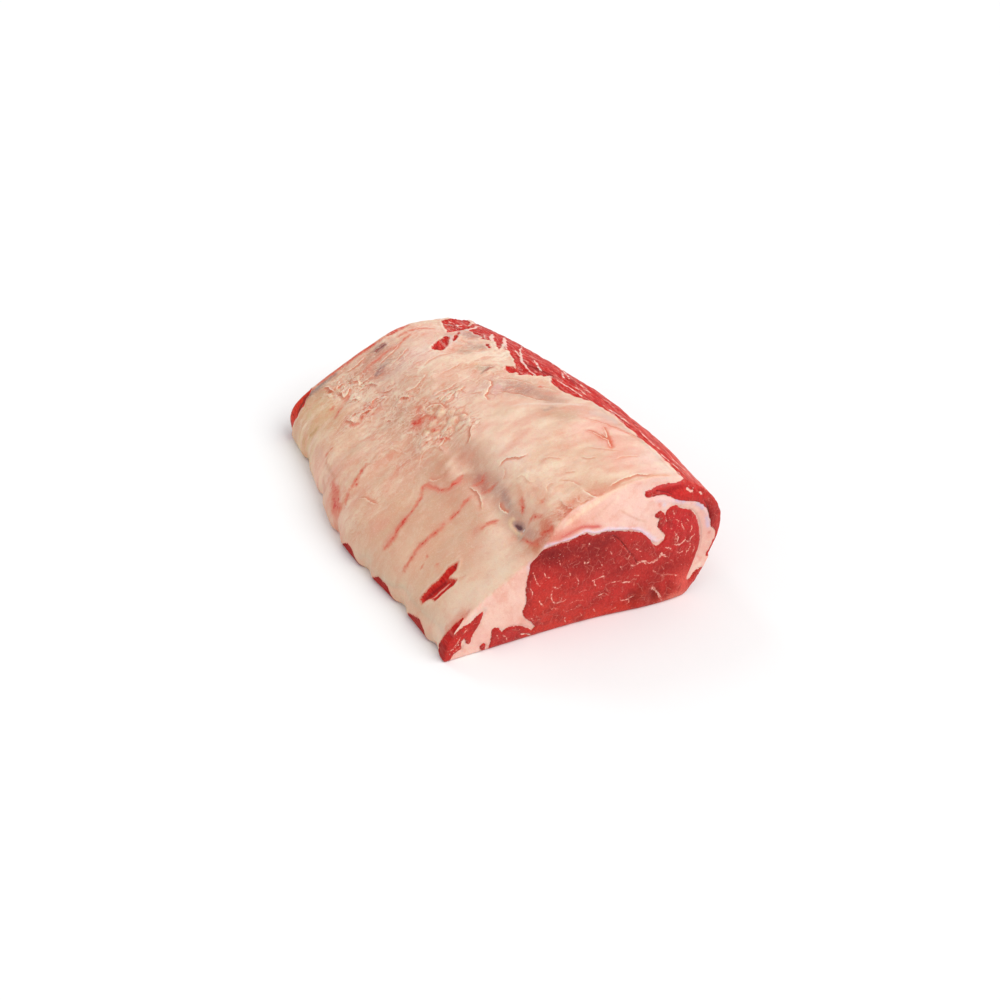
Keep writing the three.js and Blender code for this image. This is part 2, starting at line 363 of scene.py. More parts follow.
def top_relief(x, y):
    """The broad relief of the top, in mm."""
    furrow = -FURROW_DEPTH * bell((x - FURROW_X) / FURROW_HALF_WIDTH)
    furrow = furrow * smooth((FURROW_END - y) / FURROW_FADE)
    pit = -PIT["depth"] * bell(np.hypot(x - PIT["x"], y - PIT["y"]) / PIT["radius"])
    slab = SLAB_WAVE * np.clip((SLAB_EDGE - x) / SLAB_FADE, 0, 1) * (1 - 2 * rib_hollow(y))
    return furrow + pit + slab + waves(x, y)


def cut_shape(x, z, t):
    """How far the cuts stand off their planes."""
    lean = NEAR_LEAN * smooth((z - LEAN_FROM) / LEAN_OVER)
    foot = bell((x - FOOT_BULGE["x"]) / FOOT_BULGE["spread"]) * smooth(1 - z / FOOT_BULGE["height"])
    return (lean - FOOT_BULGE["depth"] * foot) * (1 - t) ** 4


def skin_point(x, z, t):
    """The skin's point for outline point x, z at share t of the length."""
    y = t * LENGTH
    top = smooth((z - RELIEF_FROM) / RELIEF_OVER)
    lip_foot = (1 - smooth(z / LIP_FOOT_HEIGHT)) * smooth(1 - x / LIP_FOOT_WIDTH)
    from_lip = smooth((x - SOLE_EDGES["lip"]) / SOLE_EDGES["lip_fade"])
    from_chine = smooth((SOLE_EDGES["chine"] - x) / SOLE_EDGES["chine_fade"])
    underside = np.clip(1 - z / 3, 0, 1) * from_lip * from_chine
    px = x - SCALLOP * lip_foot * (1 - 2 * rib_hollow(y))
    pz = np.maximum(0, z + top * top_relief(x, y)) + RIB_DEPTH * underside * rib_hollow(y)
    return px, y + cut_shape(x, z, t), pz


# ---------------------------------------------------------------- where the lean shows

# The lean's outlines on the near cut, as [x, z]. The far cut has the muscles' own outlines.
NEAR_LEAN_EDGES = {
    "eye": [
        [75, -4], [73, 10], [69, 17], [64, 23], [62, 30], [65, 36], [65, 49], [67.5, 62], [71, 74],
        [78, 80], [90, 82], [104, 83.5], [114, 86], [120, 82.5], [132, 82], [144, 79], [153, 76],
        [160, 73], [164, 69.5], [169, 63], [172, 58], [175.5, 55], [180, 57.5], [182.5, 61], [181, 65],
        [176, 71.5], [175, 76], [177, 79.5], [173.5, 81.5], [173, 85], [177, 86.5], [181.5, 83.5],
        [185, 87], [191, 87.5], [194.5, 83.5], [201, 80.5], [207, 76], [211, 68], [213.5, 58], [215, 47],
        [214, 38], [210, 29], [206.5, 22], [203, 15.5], [204, 12.5], [208, 16], [212, 19], [220, 20],
        [222, 8], [214, -6],
    ],
    "cap": [
        [166, 101], [171, 104], [184, 104.5], [197, 103], [207, 106], [232, 104], [250, 70], [246, 36],
        [232, 27], [221.5, 29], [223.5, 34], [227, 40], [229.5, 47], [228, 52.5], [224.5, 56], [223, 62],
        [221.5, 70], [218, 77], [213, 82], [207, 86], [198, 89], [190, 92.5], [184, 96.5], [176, 98.5],
        [169, 98.5],
    ],
    "lip": [
        [38, -4], [36.5, 7], [36.5, 16], [38.5, 20.5], [43, 20], [45.5, 14.5], [48, 18], [58, 17],
        [66, 11.5], [72, 5.5], [77, -4],
    ],
    "lip_bit": [[28, 1], [28.5, 8], [32, 7.5], [32.5, 1], [31, -1]],
    "flank": [
        [31, 39.5], [26, 37], [20, 31.5], [14, 30], [10, 27], [4, 23], [-8, 22], [-12, 4], [0, -3],
        [6.5, 6], [12, 9], [13, 15], [15, 19], [16.5, 13.5], [19.5, 12.5], [21, 18], [24, 23],
        [28, 29.5],
    ],
}
NEAR_FLAPS_OF_FAT = {  # pale fat that lies over the lean on the near cut: half width, line [x, z]
    "lip_tongue": (0.6, [[62, 6], [67, 4.5], [72, 0]]),
    "flank_low": (0.1, [[3, 7], [8, 12.5], [14, 18]]),
    "cap_tag": (0.7, [[202, 97], [206, 94], [208, 97]]),
    "cap_tag_low": (0.5, [[212, 92], [215, 89]]),
    "eye_tag": (0.4, [[181, 84], [182, 79], [183, 75]]),
}
# The fat's edge along the shoulder, as [y, x]: lean shows beyond it.
FAT_EDGE = [
    [0, 203], [12, 201], [24, 199], [42, 198], [60, 197], [78, 196], [97, 195], [110, 194], [121, 192],
    [130, 188], [138, 185], [143, 177], [156, 172], [170, 173], [180, 178], [185, 180], [187, 168],
    [190, 158], [194, 153], [205, 155], [213, 158], [221, 163], [233, 166], [247, 168], [263, 172],
    [270, 166], [277, 158], [300, 156], [306, 154], [312, 158], [322, 168], [334, 176], [344, 178],
]
# Spots of lean that show through the fat on the top, as outlines [x, y].
LEAN_SPOTS = {
    "nick": [
        [32, 46.3], [30, 44.5], [27.8, 41.8], [25, 41.6], [22.7, 42], [20.8, 41], [23.2, 37.2],
        [24.8, 33.4], [21.6, 32.4], [17, 34.2], [12, 35], [7.6, 36.4], [7, 41], [4.3, 44.8], [1.6, 47.4],
        [2, 52], [5.2, 50.4], [10.5, 50], [15.8, 48], [21.4, 48.5], [24.5, 49.6], [29.5, 47.7],
    ],
    "far_top": [
        [145, 337], [153, 340], [164, 344], [173, 342], [172, 334], [161, 315], [153, 307], [144, 305],
        [137, 305], [139, 313], [142, 326],
    ],
    "far_oval": [
        [112, 284], [117, 289], [125, 295], [132, 297], [134, 294], [130, 288], [127, 282], [124, 277],
        [118, 273.5], [114.5, 277],
    ],
    "far_bit": [[155, 257], [154, 263], [156, 266], [159, 264]],
    "far_bit_low": [[161, 251], [164, 262], [168, 271], [174, 275], [169, 262], [164, 254]],
    "far_streak": [[147, 303], [146, 298], [137, 287], [132, 282.5], [136, 290]],
    "edge_bit": [[147, 209], [151, 214.5], [156, 212], [154, 203], [151, 199], [148, 202]],
}
# White sheets of film over the lean of the shoulder and the far top: half width, line [x, y].
FILMS = [
    (1.5, [[187, 294], [179, 277], [173, 263], [168, 249]]),
    (1.7, [[176, 296], [170, 284], [164, 270], [160, 260]]),
    (1.3, [[178, 324], [164, 313], [152, 305], [140, 303]]),
    (1.1, [[184, 257], [177, 240], [170, 224], [166, 204], [166, 190]]),
    (0.8, [[205, 235], [204, 214], [196, 185]]),
    (0.8, [[189, 171], [192, 159], [193, 148]]),
    (0.7, [[195, 277], [188, 262], [180, 249]]),
    (0.7, [[178, 254], [173, 235]]),
    (0.6, [[183, 228], [179, 212], [175, 198]]),
    (0.8, [[181, 185], [184, 164], [188, 138]]),
    (0.6, [[198, 206], [190, 183]]),
    (0.6, [[201, 176], [200, 152]]),
    (0.7, [[197, 128], [201, 106], [203, 92]]),
    (0.6, [[193, 118], [198, 96]]),
    (0.7, [[205, 84], [204, 66], [207, 50]]),
    (0.7, [[201, 48], [205, 30], [206, 16]]),
    (0.6, [[212, 44], [213, 22]]),
    (0.5, [[144, 330], [154, 322], [162, 324]]),
    (0.5, [[143, 316], [150, 314], [157, 316]]),
    (0.5, [[150, 337], [154, 327], [152, 313]]),
    (0.5, [[159, 303], [165, 292], [162, 282]]),
]
# The seam of fat that runs low along the chine side.
SIDE_SEAM = {"z": 19, "half": 4}
# The lean at the lip's far corner begins at these y, by height.
FAR_CORNER_EDGE = {"z": [6, 19, 25, 34, 39, 44], "y": [332, 330, 327, 328, 336, 352]}


def polygon_depth(loop, x, z):
    """Signed distance of each point x, z inside a closed loop, in mm: positive inside."""
    inside = np.zeros(len(x), bool)
    nearest = np.full(len(x), np.inf)
    for (ax, az), (bx, bz) in zip(np.roll(loop, 1, axis=0), loop):
        dx, dz = bx - ax, bz - az
        share = np.clip(((x - ax) * dx + (z - az) * dz) / (dx * dx + dz * dz), 0, 1)
        nearest = np.minimum(nearest, (x - ax - share * dx) ** 2 + (z - az - share * dz) ** 2)
        if dz:
            inside ^= ((az > z) != (bz > z)) & (x < ax + (z - az) * dx / dz)
    nearest = np.sqrt(nearest)
    return np.where(inside, nearest, -nearest)


def near_muscle_depth(points):
    """How deep each point of the near cut lies in the lean that shows there, in mm."""
    xz = points[:, [0, 2]]
    depth = np.full(len(points), NO_LEAN)
    for outline in NEAR_LEAN_EDGES.values():
        loop = loop_weights([2] * len(outline)) @ np.array(outline, float)
        depth = np.maximum(depth, polygon_depth(loop, *xz.T))
    for half_width, line in NEAR_FLAPS_OF_FAT.values():
        depth = np.minimum(depth, distance_to_curve(line, xz) - half_width)
    return depth


def far_muscle_depth(points):
    """How deep each point of the far cut lies in the nearest muscle, in mm."""
    depth = np.full(len(points), NO_LEAN)
    for outline in (EYE, CAP, LIP, FLANK):
        loop = loop_weights([3] * len(outline["near"])) @ knots_at(outline, 1)[0]
        depth = np.maximum(depth, polygon_depth(loop, points[:, 0], points[:, 2]))
    return depth


def cut_share(points):
    """1 on the near cut or the far cut, 0 on the skin, and between the two on the rim."""
    x, y, z = points.T
    near = 1 - smooth((y - cut_shape(x, z, 0) - 0.2) / 1.6)
    far = smooth((y - LENGTH + 1.8) / 1.6)
    return near, far


def spot_depth(points, names=tuple(LEAN_SPOTS)):
    """Signed distance into the nearest of the spots on the top, in mm."""
    depth = np.full(len(points), NO_LEAN)
    for name in names:
        loop = np.array(LEAN_SPOTS[name], float)
        spot = points[:, :2]
        close = ((spot > loop.min(0) - 8) & (spot < loop.max(0) + 8)).all(1) & (points[:, 2] > 15)
        depth[close] = np.maximum(depth[close], polygon_depth(loop, *spot[close].T))
    return depth


def shoulder_depth(points):
    """Signed distance past the fat's ragged edge along the shoulder, in mm."""
    x, y, z = points.T
    edge_y, edge_x = np.array(FAT_EDGE, float).T
    fingers = 3.5 * noise(points * [1, 1.6, 1], 16, 13) + 2.5 * noise(points, 6, 14)
    fingers *= 0.35 + 0.65 * smooth((y - 90) / 60)
    past = (x - np.interp(y, edge_y, edge_x) + fingers) * 0.8
    return np.where(z > 30, past, np.maximum(past, (x - 150) * 0.5))


def low_depth(points):
    """Signed distance into the bare lean at the foot of the lip, at its two corners and below, in mm."""
    x, y, z = points.T
    foot_height = 11 * (0.5 - 0.5 * np.cos(2 * np.pi * (y - FIRST_RIB) / RIB_PITCH)) - 1.5
    foot_height -= 12 * smooth((y - 150) / 60)
    lip_foot = np.where(x < 25, (foot_height - z) * 0.8, NO_LEAN)
    near_corner = 11 - 0.3 * np.maximum(z - 10, 0) - y
    near_corner = np.where((x < 18) & (z < 36), near_corner, NO_LEAN)
    far_corner = y - np.interp(z, FAR_CORNER_EDGE["z"], FAR_CORNER_EDGE["y"])
    far_corner = np.where(x < 22, far_corner, NO_LEAN)
    underside = np.clip(x - 4, -9, 4) * 0.5 + 1 - np.maximum(z - 5.2, 0) * 4
    underside = np.where(z < 6, underside, NO_LEAN)
    return np.maximum.reduce([lip_foot, near_corner, far_corner, underside])


def lean_depth(points):
    """Signed distance into the lean that shows, in mm, with the ragged edge that it has."""
    x, y, z = points.T
    near, far = cut_share(points)
    on_cut = np.maximum(near, far)
    inner = np.zeros(len(points))
    for there, depth_in in ((near > 0, near_muscle_depth), (far > 0, far_muscle_depth)):
        inner[there] = depth_in(points[there]) + 0.6 * layered(points[there], 4, 12, 2)
    skin = np.maximum(shoulder_depth(points), low_depth(points))
    seam_half = SIDE_SEAM["half"] * (0.6 + 0.6 * noise(points, 22, 18))
    seam = np.abs(z - SIDE_SEAM["z"] - 6 * noise(points, 34, 17)) - seam_half
    skin = np.where(x > 150, np.minimum(skin, seam), skin)
    skin += 1.1 * noise(points, 7, 11) + 0.6 * noise(points, 3, 12)
    torn = (1.3 * noise(points, 5, 15) + 0.9 * noise(points, 2.4, 16)) * (y > 150)
    skin = np.maximum(skin, spot_depth(points) + 0.3 * noise(points, 3, 13) + torn)
    return skin * (1 - on_cut) + inner * on_cut


# ---------------------------------------------------------------- marks on the fat

FOOT_CREASE = [[8, 151], [6, 158], [3, 166], [-1, 173]]  # down the foot of the lip
V_LONG = [[165, 55], [168, 66], [165.5, 78], [160, 88]]  # the V of torn film near the shoulder
V_SHORT = [[169, 63], [172, 76], [176, 88]]
# Torn edges of tissue, by place: how high the edge stands, how far its sheet slopes back, and the edge
# [x, y] over the top. The sheet lies to the left of the edge's run. Those with the least reach are creases
# and curls.
FLAPS = {
    "near crown": [
        (0.9, 10, [[86, 93], [91, 96], [96, 95], [104, 86], [110, 87]]),
        (0.35, 6, [[89, 71], [96, 69], [96, 62], [99, 54]]),
        (0.45, 4, [[121, 48], [125, 45], [129, 42.5]]),
        (0.5, 9, [[124, 25], [122, 33], [118, 38], [112, 42]]),
        (0.4, 5, [[106, 24], [105, 16], [109, 13]]),
        (0.4, 5, [[103, 17], [105, 13], [108, 7]]),
        (0.4, 5, [[114, 19], [114, 13], [115, 9]]),
        (1.0, 5, [[145, 7], [137, 6.5], [131, 7], [126, 11], [124, 17], [123, 24]]),
        (0.4, 8, [[101, 37], [104, 43], [111, 43]]),
        (0.4, 6, [[84, 80], [88, 84], [90, 90]]),
        (0.35, 6, [[114, 74], [121, 70], [127, 62]]),
        (0.6, 3, [[97, 2], [101, 3.5], [110, 3.5]]),
        (0.5, 5, [[139, 57], [144, 53], [150, 50]]),
        (0.9, 8, [[139, 13], [152, 15], [165, 15], [178, 12]]),
        (0.9, 4, [[168, 7], [178, 7.5], [188, 7], [196, 8]]),
        (1.1, 5, V_LONG),
        (1.1, 5, V_SHORT),
        (0.7, 9, [[194, 64], [189, 77], [182, 86], [175, 96], [165, 107]]),
        (0.4, 7, [[160, 40], [170, 42], [181, 38]]),
        (0.4, 7, [[150, 68], [158, 60], [172, 50]]),
    ],
    "furrow": [
        (1.0, 4, [[76, 50], [74, 59], [77, 68]]),
        (0.7, 6, [[66, 104], [68, 92], [66, 80], [62, 72]]),
        (0.5, 3, [[55, 128], [50, 131], [46, 137]]),
        (0.35, 6, [[44, 152], [54, 164], [64, 160], [66, 146]]),
        (0.6, 4, FOOT_CREASE),
    ],
    "far crown": [
        (1.5, 10, [[115, 170], [116, 182], [121, 186], [128, 195], [126, 206]]),
        (1.0, 7, [[86, 192], [85, 201], [81, 206], [74, 210]]),
        (0.7, 5, [[93, 165], [93, 171], [89, 175]]),
        (0.9, 5, [[95, 155], [90, 151], [85, 143], [82, 138]]),
        (0.7, 8, [[67, 247], [76, 242], [84, 244], [95, 250]]),
        (0.7, 7, [[84, 215], [92, 217], [100, 214], [108, 219]]),
        (0.7, 7, [[86, 203], [91, 207], [101, 209]]),
        (0.6, 7, [[96, 262], [108, 266], [122, 264]]),
        (0.5, 6, [[100, 240], [112, 238], [124, 243]]),
        (0.9, 7, [[147, 221], [139, 222], [128, 232]]),
        (0.7, 8, [[157, 141], [146, 152], [139, 165], [124, 182]]),
        (0.6, 7, [[170, 154], [162, 167], [153, 178], [144, 191], [131, 198]]),
        (0.6, 9, [[108, 196], [117, 187], [125, 176]]),
    ],
    "far end": [
        (1.0, 6, [[28, 330], [30.5, 325], [31, 319], [32, 312]]),
        (1.1, 6, [[34, 313], [38, 316.5], [43, 317]]),
        (1.1, 6, [[35, 307], [34.5, 298], [38, 298], [45, 305]]),
        (0.9, 5, [[45, 312], [50, 308], [52, 300]]),
        (0.9, 5, [[38, 287], [41, 286], [42, 281]]),
        (1.0, 6, [[46, 262], [51, 266], [56, 265]]),
        (1.0, 6, [[34, 260], [40, 261], [46, 256]]),
        (0.9, 5, [[26, 269], [27, 261], [29, 256]]),
        (1.2, 6, [[64, 242], [68, 241.5], [71, 234]]),
        (1.0, 5, [[48, 264], [53, 265]]),
        (0.8, 5, [[50, 232], [52, 226]]),
        (0.9, 6, [[59, 268], [63, 264], [68, 262]]),
        (0.8, 6, [[52, 297], [58, 290], [60, 280]]),
        (0.8, 8, [[47, 330], [58, 327], [70, 331]]),
        (0.7, 8, [[70, 306], [84, 309], [98, 316]]),
        (0.6, 8, [[76, 292], [88, 296], [100, 304]]),
    ],
}
# Veins and bare spots, by place: half width, line [x, y]. Their red shows through the fat.
VEINS = {
    "slope": [
        (1.9, [[67, 117], [63, 115], [56, 113]]),
        (1.0, [[56, 113], [49, 117], [46, 126], [42, 134], [37, 130]]),
        (1.1, [[37, 130], [32, 124], [25, 121], [18, 117]]),
        (2.4, [[20, 119], [13, 117], [8, 115]]),
        (1.2, [[10, 115], [4, 112], [-2, 113]]),
        (1.0, [[63, 91], [58, 91], [53, 89]]),
        (1.0, [[50, 88], [44, 87]]),
        (1.1, [[38, 86], [31, 86], [22, 86.5], [14, 87], [8, 84.5], [2, 83]]),
        (0.8, [[68, 54], [62, 57], [57, 58]]),
    ],
    "lip foot": [
        (1.5, [[-12, 203], [-13, 192], [-14, 184]]),
        (1.5, [[-7, 217], [-9, 208], [-11, 197], [-13, 188]]),
        (2.4, [[-13, 197], [-15, 190]]),
        (0.9, [[3.5, 188], [4.5, 188]]),
        (0.7, [[0, 189], [8, 194], [13, 199]]),
        (0.6, [[0, 250], [6, 251]]),
        (0.7, [[-2, 189], [4, 191], [9, 194], [17, 199]]),
        (1.0, [[-7, 211], [-11, 202], [-12, 194]]),
        (0.6, [[-10, 181], [-7, 184], [-5, 187]]),
    ],
    "furrow and near rim": [
        (1.0, [[70, 101], [75, 98], [78, 102]]),
        (0.7, [[71, 88], [75, 85], [80, 84]]),
        (1.4, [[104, 6.5], [109, 4.5], [114, 4]]),
        (1.2, [[117, 5.5], [122, 4], [128, 3]]),
        (1.4, [[124, 6], [130, 7]]),
        (1.5, [[84, 10], [87, 7.5], [90, 4]]),
        (1.0, [[83, 29], [86, 28], [89, 22]]),
        (0.9, [[75, 24], [75, 18], [77, 12], [79, 6]]),
        (0.8, [[83, 40], [85, 46], [86, 50]]),
        (0.7, [[95, 33], [96, 34]]),
    ],
    "lumps": [
        (3.2, [[61, 204], [67, 199]]),
        (1.0, [[69, 213], [72, 213]]),
        (1.3, [[69, 166], [74, 159]]),
        (0.9, [[69, 181], [72, 176]]),
        (0.8, [[72, 197], [75, 190]]),
    ],
    "far end": [
        (0.9, [[60, 312], [66, 314], [74, 314], [83, 316], [93, 315]]),
        (0.7, [[88, 312], [98, 317], [108, 322]]),
        (0.9, [[35.5, 292], [39.5, 295.5]]),
        (1.3, [[41, 260], [45, 258]]),
        (0.9, [[34, 256], [38, 257]]),
        (1.0, [[26, 258], [30, 254], [33, 253]]),
        (0.9, [[22, 296], [26, 296]]),
        (0.8, [[20, 281], [24, 284], [29, 288]]),
        (4.0, [[92, 339.5], [101, 340.5], [112, 340.5]]),
        (1.9, [[21, 340.5], [45, 340.5], [67, 340.5], [92, 340]]),
        (0.7, [[99, 328], [110, 329], [122, 326], [131, 320]]),
    ],
    "dots": [
        (0.7, [[12, 71], [12.4, 71]]),
        (0.6, [[20, 60], [20.4, 60]]),
        (0.6, [[17, 75], [17.4, 75]]),
        (0.8, [[158, 168], [162, 167]]),
    ],
}
# Soft stains in the fat, and painted shade and highlights: half width, strength, colour and line [x, y].
STAINS_SHADE_AND_HIGHLIGHTS = [
    # painted shade along the furrow: this line and the next two
    (6.0, 0.45, (208, 158, 138), [[75, 14], [76, 30], [77, 52], [79, 78], [77, 100], [74, 118]]),
    (3.6, 0.35, (180, 142, 134), [[77, 46], [78, 58], [80, 72], [79, 88]]),
    (2.0, 0.4, (160, 126, 124), [[78, 54], [80, 64], [81, 74]]),
    (4.8, 0.85, (200, 124, 108), [[72, 84], [75, 96], [74, 108]]),
    (4.5, 0.45, (224, 146, 126), [[66, 115], [60, 112], [52, 116], [46, 129], [40, 134]]),
    (4.2, 0.6, (226, 138, 120), [[22, 120], [12, 117], [-1, 113]]),
    (3.2, 0.45, (228, 146, 124), [[62, 90], [44, 87], [24, 86], [2, 83]]),
    (3.2, 0.5, (228, 142, 120), [[68, 54], [58, 58], [50, 60]]),
    (5.0, 0.45, (228, 150, 130), [[10, 131], [2, 133], [-6, 137]]),
    (4.5, 0.75, (224, 120, 90), [[-9, 214], [-12, 202], [-15, 180]]),
    (6.0, 0.5, (226, 140, 120), [[0, 232], [-4, 222], [-6, 212]]),
    (2.2, 0.4, (226, 158, 134), [[23, 164], [34, 168], [48, 168]]),
    (1.8, 0.4, (226, 158, 134), [[37, 186], [46, 181], [52, 172]]),
    (7.0, 1.0, (208, 92, 72), [[59, 206], [69, 197]]),
    (3.6, 0.7, (218, 130, 112), [[68, 213], [73, 212]]),
    (3.6, 0.6, (220, 136, 116), [[69, 194], [74, 191]]),
    (2.4, 0.7, (200, 124, 88), [[52, 209], [58, 212]]),
    (2.0, 0.6, (202, 120, 96), [[56, 192], [60, 186]]),
    (4.5, 0.7, (196, 158, 114), [[77, 203], [84, 198]]),
    (3.2, 0.6, (188, 156, 118), [[62, 187], [66, 183], [70, 178]]),
    (6.0, 0.5, (214, 158, 136), [[74, 155], [75, 141], [76, 128]]),
    (1.8, 0.5, (224, 156, 132), [[54, 173], [61, 168], [66, 156], [67, 145]]),
    (7.0, 0.95, (208, 84, 60), [[75, 9], [81, 8], [86, 8], [92, 7]]),
    (4.0, 0.8, (218, 118, 88), [[88, 19], [87, 13], [84, 10]]),
    (5.6, 0.85, (216, 118, 90), [[96, 9], [104, 8], [114, 7]]),
    (3.8, 0.9, (216, 112, 84), [[121, 6], [133, 6]]),
    # painted shade running on from the pit down the furrow
    (3.4, 0.55, (198, 142, 130), [[79, 27], [79, 21], [80, 14]]),
    # painted highlights along the edges of two folds: this line and the next
    (1.6, 0.8, (250, 222, 196), [[123, 24], [124, 17], [126, 11], [131, 7], [137, 7], [145, 7]]),
    (0.9, 0.8, (252, 226, 200), [[97, 1], [101, 3], [110, 3]]),
    (5.0, 0.4, (230, 156, 126), [[92, 30], [98, 40], [94, 52]]),
    (2.6, 0.5, (228, 150, 122), [[84, 48], [88, 56], [90, 66]]),
    # painted shadow under the edge of the far mound: this line and the next
    (5.0, 0.5, (170, 128, 122), [[66, 295], [72, 299], [82, 303]]),
    (3.6, 1.0, (98, 64, 78), [[64, 295], [69, 298], [75, 300]]),
    (7.0, 0.6, (192, 136, 112), [[60, 318], [72, 320], [88, 328]]),
    (1.4, 0.5, (206, 128, 100), [[-5, 213], [-4, 228], [-3, 243], [1, 249]]),
    (1.2, 0.6, (210, 132, 104), [[-8, 238], [-10, 232], [-13, 221]]),
    (1.0, 0.6, (212, 134, 108), [[1, 190], [10, 196], [21, 197], [29, 201]]),
    (1.4, 0.6, (210, 140, 112), FOOT_CREASE),
    (2.4, 0.6, (240, 208, 186), [[-13, 187], [-8, 193], [-3, 199], [5, 207]]),
    (3.0, 0.5, (226, 152, 128), [[15, 155], [22, 161], [30, 168], [38, 170], [52, 164]]),
    (1.4, 0.5, (226, 158, 134), [[1, 250], [8, 257], [18, 257], [26, 259]]),
    (1.2, 0.5, (226, 156, 130), [[22, 196], [29, 191], [37, 190], [46, 190]]),
    (5.0, 0.45, (224, 156, 134), [[-2, 275], [-2, 260], [-5, 248]]),
    (5.0, 0.55, (226, 138, 116), [[61, 312], [76, 314], [94, 316]]),
    (4.0, 0.55, (186, 112, 84), [[46, 312], [54, 317], [60, 314]]),
    (2.6, 0.6, (176, 96, 70), [[54, 302], [56, 297]]),
    (4.0, 0.45, (220, 140, 118), [[20, 282], [28, 290], [36, 296]]),
    (8.0, 0.4, (226, 156, 140), [[28, 268], [40, 262], [56, 262], [66, 266]]),
    (6.0, 0.45, (222, 158, 142), [[66, 300], [80, 290], [98, 288]]),
    (4.0, 0.9, (130, 114, 110), [[14, 337], [24, 336], [33, 338], [45, 338]]),
    (2.6, 0.75, (206, 120, 96), [[30, 342], [60, 341], [84, 340]]),
    (1.3, 0.9, (190, 124, 52), [[0, 294], [4, 290], [9, 292]]),
    (1.2, 0.6, (206, 156, 92), [[-3, 303], [-4, 296]]),
    (3.0, 0.5, (196, 160, 130), [[86, 330], [76, 330], [68, 326]]),
    (4.0, 1.0, (128, 58, 62), [[75, 327], [82, 328.5], [89, 328.5]]),
    (4.0, 0.6, (172, 134, 132), [[132, 303], [137, 296], [136, 288]]),
    (8.0, 0.75, (182, 134, 126), [[144, 303], [156, 294], [158, 281]]),
    (3.5, 0.65, (176, 118, 114), [[140, 262], [148, 263], [154, 262]]),
    (5.0, 0.6, (176, 142, 120), [[130, 268], [133, 262], [137, 254]]),
    (3.5, 0.7, (170, 146, 124), [[128, 228], [134, 222], [142, 224]]),
    (1.6, 0.8, (150, 114, 98), [[127, 214], [132, 217], [138, 220]]),
    (4.0, 0.7, (216, 196, 206), [[134, 296], [132, 289], [129, 282]]),
    (12.0, 0.8, (252, 226, 204), [[136, 246], [150, 240], [164, 236]]),
    (5.0, 0.7, (172, 132, 126), [[140, 300], [150, 292], [152, 282]]),
    (6.0, 0.5, (176, 150, 130), [[138, 268], [146, 262], [152, 256]]),
    (4.0, 0.45, (230, 190, 130), [[132, 227], [130, 234]]),
    (9.0, 0.75, (200, 152, 134), [[126, 192], [140, 184], [152, 166], [160, 146], [168, 132]]),
    (5.0, 0.6, (184, 138, 118), [[138, 172], [146, 164], [154, 152], [160, 142]]),
    (6.0, 0.8, (232, 190, 182), [[126, 188], [134, 184]]),
    (1.3, 0.9, (240, 212, 196), [[126, 153], [143, 144], [168, 131], [181, 126]]),
    (1.4, 0.95, (168, 76, 62), [[131, 215.5], [137, 218], [143, 221]]),
    (4.0, 0.5, (226, 164, 154), [[130, 202], [136, 197], [142, 194]]),
    (6.0, 0.45, (232, 178, 168), [[112, 196], [122, 188], [128, 176]]),
    (2.5, 0.5, (170, 140, 130), [[144, 129], [149, 131], [154, 134]]),
    (7.0, 0.5, (206, 176, 146), [[146, 124], [154, 116], [160, 106]]),
    (12.0, 0.45, (242, 168, 146), [[160, 88], [170, 72], [172, 56], [162, 34]]),
    (3.0, 0.7, (232, 124, 98), [[165, 56], [168, 66], [165, 78]]),
    (1.5, 0.9, (224, 92, 62), V_LONG),
    (1.4, 0.85, (226, 98, 68), V_SHORT),
    (2.2, 0.6, (236, 136, 110), [[194, 64], [188, 78], [178, 92], [166, 106]]),
    (1.3, 0.8, (228, 106, 76), [[192, 68], [186, 80], [180, 90]]),
    (6.0, 0.5, (246, 214, 200), [[186, 44], [190, 24], [186, 10]]),
    (5.0, 0.4, (214, 184, 178), [[176, 116], [186, 104], [192, 92]]),
    (4.0, 0.6, (226, 150, 110), [[170, 9], [180, 9.5], [190, 9]]),
    (2.2, 0.5, (214, 138, 96), [[75, 14], [77, 6], [76, 0]]),
    # painted shade along the edge of the lean at the lip's far corner
    (2.4, 0.9, (96, 44, 40), [[3, 328], [7, 330], [11, 333], [16, 336]]),
    (1.6, 0.6, (196, 84, 74), [[15, 3], [18, 3.5], [22, 2]]),
    (14.0, 0.35, (240, 176, 156), [[104, 318], [128, 312], [150, 296]]),
    (12.0, 0.4, (226, 190, 150), [[4, 284], [14, 300], [24, 316]]),
    (10.0, 0.4, (244, 214, 184), [[120, 246], [136, 240], [150, 232]]),
    (9.0, 0.4, (244, 206, 188), [[96, 190], [112, 206], [120, 222]]),
    (9.0, 0.4, (238, 206, 178), [[8, 60], [30, 30], [56, 18]]),
    (5.0, 0.6, (226, 126, 102), [[4, 12], [10, 6], [20, 3]]),
    (1.6, 0.6, (214, 146, 118), [[26, 33], [29, 31], [32, 31]]),
    (7.0, 0.6, (182, 130, 118), [[132, 184], [142, 174], [152, 164]]),
    (6.0, 0.5, (190, 136, 128), [[140, 276], [150, 268]]),
]
# Flat ellipses that the material draws: middle x, y, z, half sizes along and across, turn in degrees.
PIT_HOLE = (77.3, 36, 78, 5.4, 2.0, -72)
PIT_GLINT = (78.5, 30, 79, 1.0, 0.7, 0)
NICK_LINE = (14.2, 39.2, 35, 7.4, 0.8, -13)
